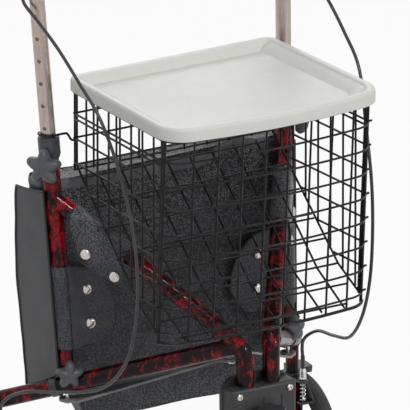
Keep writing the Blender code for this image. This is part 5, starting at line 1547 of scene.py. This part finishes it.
@dataclass
class HeadHousing:
    """The black housing at the front, in which both frames turn."""

    top: float = 0.331
    bottom: float = 0.236
    half: float = 0.055
    corner: float = 0.026
    boss: float = 0.021
    boss_top: float = 0.302

    def build(self) -> None:
        """Makes the flange, the body, the steering boss and the bolts."""
        y, half, corner, low, boss = LAY.pivot_y, self.half, self.corner, self.bottom, self.boss
        top = self.top + 0.012
        outline = [(-half, low)] + arc((-half + corner, top - corner), corner, 180, 90, 14)
        outline += arc((half - corner, top - corner), corner, 90, 0, 14) + [(half, low)]
        plane = Matrix.Translation((0, y + 0.0125, 0)) @ Matrix.Rotation(radians(90), 4, "X")
        form = Form().slab(outline, 0.008, plane, 0.0012)
        form.block((-half + 0.001, y - 0.0175, low - 0.004), (half - 0.001, y + 0.0145, self.top), 0.0047)
        profile = [(boss - 0.002, low - 0.008), (boss, low - 0.006), (boss, self.boss_top - 0.002),
                   (boss - 0.002, self.boss_top), (0.004, self.boss_top)]
        form.turned(profile, Matrix.Translation((0, LAY.steer_y, 0)), 56, False)
        form.block((-boss + 0.002, LAY.steer_y, low - 0.006), (boss - 0.002, y, self.boss_top - 0.003), 0.001)
        for x in (-0.03, 0, 0.03):
            form.block((x - 0.0012, y - 0.0187, low + 0.004), (x + 0.0012, y - 0.0165, self.top - 0.018), 0.0004)
        form.ride("hinge_housing", BLACK, "chassis", "head_housing")
        heads = Form()
        for x in (-0.042, 0.042):
            heads.turned([(0.0048, 0), (0.0048, 0.0026), (0.0036, 0.0038), (0.0022, 0.0038), (0.002, 0.0018)],
                         along(vec(x, y - 0.0172, self.top - 0.01), vec(0, -1)), 32, False)
        heads.ride("housing_bolts", PEWTER, "chassis")


def axle(first: float, last: float, y: float, sink: float, flank: float) -> Form:
    """Makes an axle between two places across, with a nut sunk into each end."""
    form = Form().rod(vec(first, y, LAY.wheel_radius), vec(last, y, LAY.wheel_radius), 0.004)
    way = copysign(1, last - first)
    for start, sign in ((first + way * sink, -way), (last - way * sink, way)):
        form.turned([(0.007, 0), (0.007, flank), (0.006, 0.005), (0.002, 0.005)],
                    along(vec(start, y, LAY.wheel_radius), vec(sign)), 6, False)
    return form


@dataclass
class FrontFork:
    """The swivelling front fork with its axle."""

    half: float = 0.0205
    inner: float = 0.0165
    crown: float = 0.2272

    def build(self) -> None:
        """Makes the blades, the crown, the stem and the axle."""
        steer, centre, half, crown = LAY.steer_y, LAY.pivot_y, self.half, self.crown
        outline = [(steer - 0.021, crown), (steer - 0.021, crown - 0.012)]
        outline += arc((centre, LAY.wheel_radius), 0.015, 200, 350, 18)
        outline += [(steer + 0.03, crown - 0.014), (steer + 0.023, crown)]
        form = Form()
        for sign in (-1, 1):
            form.slab(outline, half - self.inner, LAY.side_plane(sign * (half + self.inner) / 2), 0.0009)
        form.block((-half + 0.0002, steer - 0.0208, crown - 0.0058), (half - 0.0002, steer + 0.023, crown), 0.0008)
        form.rod(vec(0, steer, crown - 0.002), vec(0, steer, 0.291), 0.008, 32)
        form.ride("front_fork", BLACK, "fork", "fork")
        axle(-0.0213, 0.0213, centre, 0.0006, 0.004).ride("front_axle_bolt", STEEL, "fork", "front_axle")


@dataclass
class Wheel:
    """A wheel: a treaded tyre on a five-spoked plastic rim."""

    name: str
    body: str
    centre: Vector
    hub: float
    tyre_depth: float = 0.019
    spokes: int = 5

    def build(self) -> None:
        """Makes the tyre and the rim."""
        radius, half, hub = LAY.wheel_radius, LAY.tyre_width / 2, self.hub
        inner = radius - self.tyre_depth
        place = Matrix.Translation(self.centre) @ Matrix.Rotation(radians(90), 4, "Y")
        profile = [(inner + 0.0005, half * 0.72), (radius - 0.0105, half * 0.985)]
        for angle in range(80, -81, -10):
            turn, groove = radians(angle), 0.0007 if abs(angle) in (20, 40) else 0
            profile.append((radius - 0.0085 + (0.0085 - groove) * cos(turn), half * sin(turn)))
        profile += [(radius - 0.0105, -half * 0.985), (inner + 0.0005, -half * 0.72)]
        tyre = Form().turned(profile, place, 120)
        tyre.ride(self.name + "_tyre_ring", TYRE, self.body, self.name + "_tyre", sharp=28)
        band = half * 0.7
        form = Form().turned([(inner - 0.0003, band), (inner - 0.0003, -band), (inner - 0.0055, -band),
                              (inner - 0.0066, -band * 0.6), (inner - 0.008, -0.003), (inner - 0.008, 0.003),
                              (inner - 0.0066, band * 0.6), (inner - 0.0055, band)], place, 96)
        edge = [(0.0043, hub), (0.0105, hub), (0.012, hub - 0.0012), (0.014, 0.009), (0.016, 0.006)]
        form.turned(edge + [(wide, -level) for wide, level in reversed(edge)], place, 48)
        for turn in circle(self.spokes):
            self.add_spoke(form, vec(0, cos(turn), sin(turn)), inner - 0.0055 - 0.0135)
        form.ride(self.name + "_wheel_rim", RIM, self.body, self.name + "_rim")

    def add_spoke(self, form: Form, out: Vector, length: float) -> None:
        """Adds a spoke that flares at both ends."""
        across = vec(0, -out.z, out.y)
        rings = []
        for share in (0, 0.12, 0.5, 0.88, 1):
            point = self.centre + out * (0.0135 + length * share)
            wide = 0.0062 + 0.0052 * share + 0.004 * (2 * abs(share - 0.5)) ** 4
            deep = 0.0055 - 0.0012 * share
            ring = []
            for x, y in (polar(1, turn) for turn in circle(20)):
                x, y = (copysign(abs(value) ** 0.45, value) for value in (x, y))
                ring.append(point + vec(x * deep) + across * (y * wide))
            rings.append(ring)
        form.loft(rings)


@dataclass
class WheelBracket:
    """The bracket on a rear leg that holds the wheel and the brake."""

    side: Side

    def build(self) -> None:
        """Makes the plate, its bands, the cable stop, the pin and the axle."""
        side, sign, frame = self.side, self.side.value, self.side("frame")
        x, y, axle_y, near, high = sign * LAY.leg_x, LAY.leg_y, LAY.axle_y, LAY.bracket_x, LAY.brake_pivot_z
        outline = arc((axle_y, LAY.wheel_radius), 0.016, -110, 45, 18) + arc((y, high), 0.0085, 30, 180, 14)
        outline += arc((y, LAY.wheel_radius - 0.006), 0.0085, 180, 250, 8)
        wall = LAY.bracket_wall
        form = Form().slab(outline, wall, LAY.side_plane(sign * (near + wall / 2)), 0.0005)
        for low, top in ((0.192, 0.206), (0.085, 0.105)):
            place = Matrix.Translation((x, y, 0))
            form.sleeve(LAY.leg_radius + LAY.clearance, 0.0123, low, top, 0.0006, place, 44)
        form.block((x - 0.007, LAY.cable_y - 0.007, 0.1975), (x + 0.007, y - LAY.leg_radius - 0.001, 0.2015), 0.0006)
        form.ride(side("wheel_plate"), BLACK, frame, side("wheel_bracket"))
        pin = Form().rod(vec(sign * (near + 0.001), y, high), vec(sign * (near + 0.0077), y, high), 0.003)
        pin.turned([(0.0055, 0), (0.0055, 0.0018), (0.0042, 0.003), (0.001, 0.003)],
                   along(vec(sign * (near + 0.0067), y, high), vec(sign)), 32, False)
        pin.ride(side("brake_pin"), STEEL, frame)
        bolt = axle(sign * (near - 0.0006), sign * (LAY.rear_x + LAY.hub_half + 0.0008), axle_y, 0.0005, 0.0042)
        bolt.ride(side("axle_bolt"), STEEL, frame, side("rear_axle"))


@dataclass
class Brake:
    """A rear brake: the arm with its shoe, the adjuster and the return spring."""

    side: Side
    arm: float = 0.003
    shoe_inner: float = 0.0984
    shoe_outer: float = 0.1084
    tab_z: float = 0.17
    spring_turns: int = 5
    spring_foot: float = 0.1684
    spring_length: float = 0.0282
    spring_radius: float = 0.004

    def build(self) -> None:
        """Makes the three pieces."""
        side, sign, frame = self.side, self.side.value, self.side("frame")
        x, y, axle_y, stop_y = sign * LAY.leg_x, LAY.leg_y, LAY.axle_y, LAY.cable_y
        inner = LAY.bracket_x + LAY.bracket_wall + LAY.clearance
        outer = LAY.rear_x + LAY.tyre_width / 2 - 0.001
        low, high, hub, tab = self.shoe_inner, self.shoe_outer, LAY.wheel_radius, self.tab_z
        sector = arc((axle_y, hub), low, 84, 100, 14) + arc((axle_y, hub), high, 100, 84, 14)
        form = Form().slab(sector, outer - inner, LAY.side_plane(sign * (inner + outer) / 2), 0.0007)
        outline = [(stop_y - 0.006, tab - 0.006), (stop_y + 0.006, tab - 0.006), (y + 0.002, 0.1915),
                   (y + 0.008, 0.195), (axle_y + 0.006, hub + low + 0.002), (axle_y + 0.006, hub + high),
                   (axle_y - 0.012, hub + high + 0.001), (y + 0.006, 0.2075), (y - 0.004, 0.2065),
                   (stop_y - 0.006, tab)]
        form.slab(outline, self.arm, LAY.side_plane(sign * (inner + self.arm / 2)), 0.0005)
        first, last = sorted((sign * (inner + 0.002), x - sign * 0.006))
        form.block((first, stop_y - 0.006, tab - 0.0055), (last, stop_y + 0.006, tab - 0.0025), 0.0005)
        form.ride(side("brake_shoe_arm"), BLACK, side("brake"), side("brake_arm"))
        foot = LAY.adjuster_z
        profile = [(0.003, foot), (0.0042, foot), (0.0052, foot + 0.001), (0.0052, foot + 0.004),
                   (0.0044, foot + 0.0044)]
        for level in (foot + 0.005 + 0.0011 * step for step in range(8)):
            profile += [(0.005, level), (0.0044, level + 0.00055)]
        profile += [(0.0046, foot + 0.0142), (0.003, foot + 0.0169), (0.0006, foot + 0.017)]
        barrel = Form().turned(profile, Matrix.Translation((x, stop_y, 0)), 36, False)
        end = vec(x, stop_y, 0.1656)
        barrel.rod(end, vec(x, stop_y, foot + 0.003), 0.0006, 12).rod(end, vec(x, stop_y, 0.164), 0.0019, 16, 0.0003)
        barrel.ride(side("cable_adjuster"), STEEL, frame, side("adjuster"))
        steps = self.spring_turns * 24
        coils = []
        for index in range(steps + 1):
            dx, dy = polar(self.spring_radius, 2 * pi * index / 24)
            coils.append(vec(x + dx, stop_y + dy, self.spring_foot + self.spring_length * index / steps))
        spring = Form().tube(coils, 0.0006, 8).ride(side("coil_spring"), STEEL, frame, side("brake_spring"))
        side("brake_press")
        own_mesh(spring)


@dataclass
class SpreaderLink:
    """A flat link between a lower rail and the middle pivot."""

    side: Side
    reach: float = 0.2358
    width: float = 0.024
    thickness: float = 0.004
    end: float = 0.012
    left_lift: float = 0.0062

    def build(self) -> None:
        """Makes the link and the middle rivet's half."""
        side, half, is_left = self.side, self.thickness / 2, self.side is Side.LEFT
        outer, middle = vec(side.value * LAY.link_outer[0], *LAY.link_outer[1:]), vec(0, -0.1013, 0.345)
        lift = self.left_lift if is_left else 0
        level = vec(middle.x - outer.x, middle.y - outer.y).normalized()
        across = vec(-level.y, level.x)
        turns = [radians(9 * step) for step in range(11)]
        stations = [(-self.end + self.end * (1 - cos(turn)), 0) for turn in turns]
        stations += [(0.016, 0), (self.reach - 0.018, 1)]
        stations += [(self.reach + self.end * sin(turn), 1) for turn in turns]
        rings = []
        for distance, share in stations:
            centre = outer + level * distance
            centre.z = outer.z + (middle.z + lift - outer.z) * share
            from_end = min(distance + self.end, self.reach + self.end - distance)
            wide = self.width / 2 * sqrt(max(1 - (1 - min(from_end / self.end, 1)) ** 2, 0.002))
            rings.append([centre + across * dw * wide + vec(0, 0, dz * half) for dw, dz in (
                (-1, -0.7), (-0.94, -1), (0.94, -1), (1, -0.7), (1, 0.7), (0.94, 1), (-0.94, 1), (-1, 0.7))])
        Form().loft(rings).ride(side("fold_link"), LINK_GREY, side("link"), side("spreader_link"))
        way = UP if is_left else -UP
        rivet = Form().turned([(0.0065, 0), (0.0065, 0.0022), (0.005, 0.0038), (0.001, 0.004)],
                              along(middle + way * (lift + half), way), 32, False)
        if is_left:
            rivet.rod(middle + UP * (half + 0.0003), middle + UP * (lift - half), 0.0065, 32)
        rivet.ride(side("link_rivet"), STEEL, side("link"))


def main() -> None:
    """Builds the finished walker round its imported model."""
    logging.basicConfig(level=logging.INFO, format="%(name)s: %(message)s")
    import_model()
    PhotoCamera().build()
    for side in Side:
        BrakeCable(side).build()
    Studio().build()
    for side in Side:
        SideFrame(side).build()
        StarKnob(side, "height", LAY.upright(side, 0.6275), LAY.outboard(side), face=0.037, radius=0.0275).build()
        StarKnob(side, "frame", LAY.upright(side, 0.316), LAY.knob_way(side), face=0.026, radius=0.0215).build()
        middle = vec(side.value * LAY.rear_x, LAY.axle_y, LAY.wheel_radius)
        for part in (Handle(side), WheelBracket(side), Brake(side), SpreaderLink(side),
                     Wheel(side("rear"), side("wheel"), middle, LAY.hub_half), BasketHook(side), Flaps(side)):
            part.build()
    front = Wheel("front", "front_wheel", vec(0, LAY.pivot_y, LAY.wheel_radius), hub=0.016)
    for part in (HeadHousing(), FrontFork(), front, Basket(), Tray(), Pouch()):
        part.build()


if __name__ == "__main__":
    main()
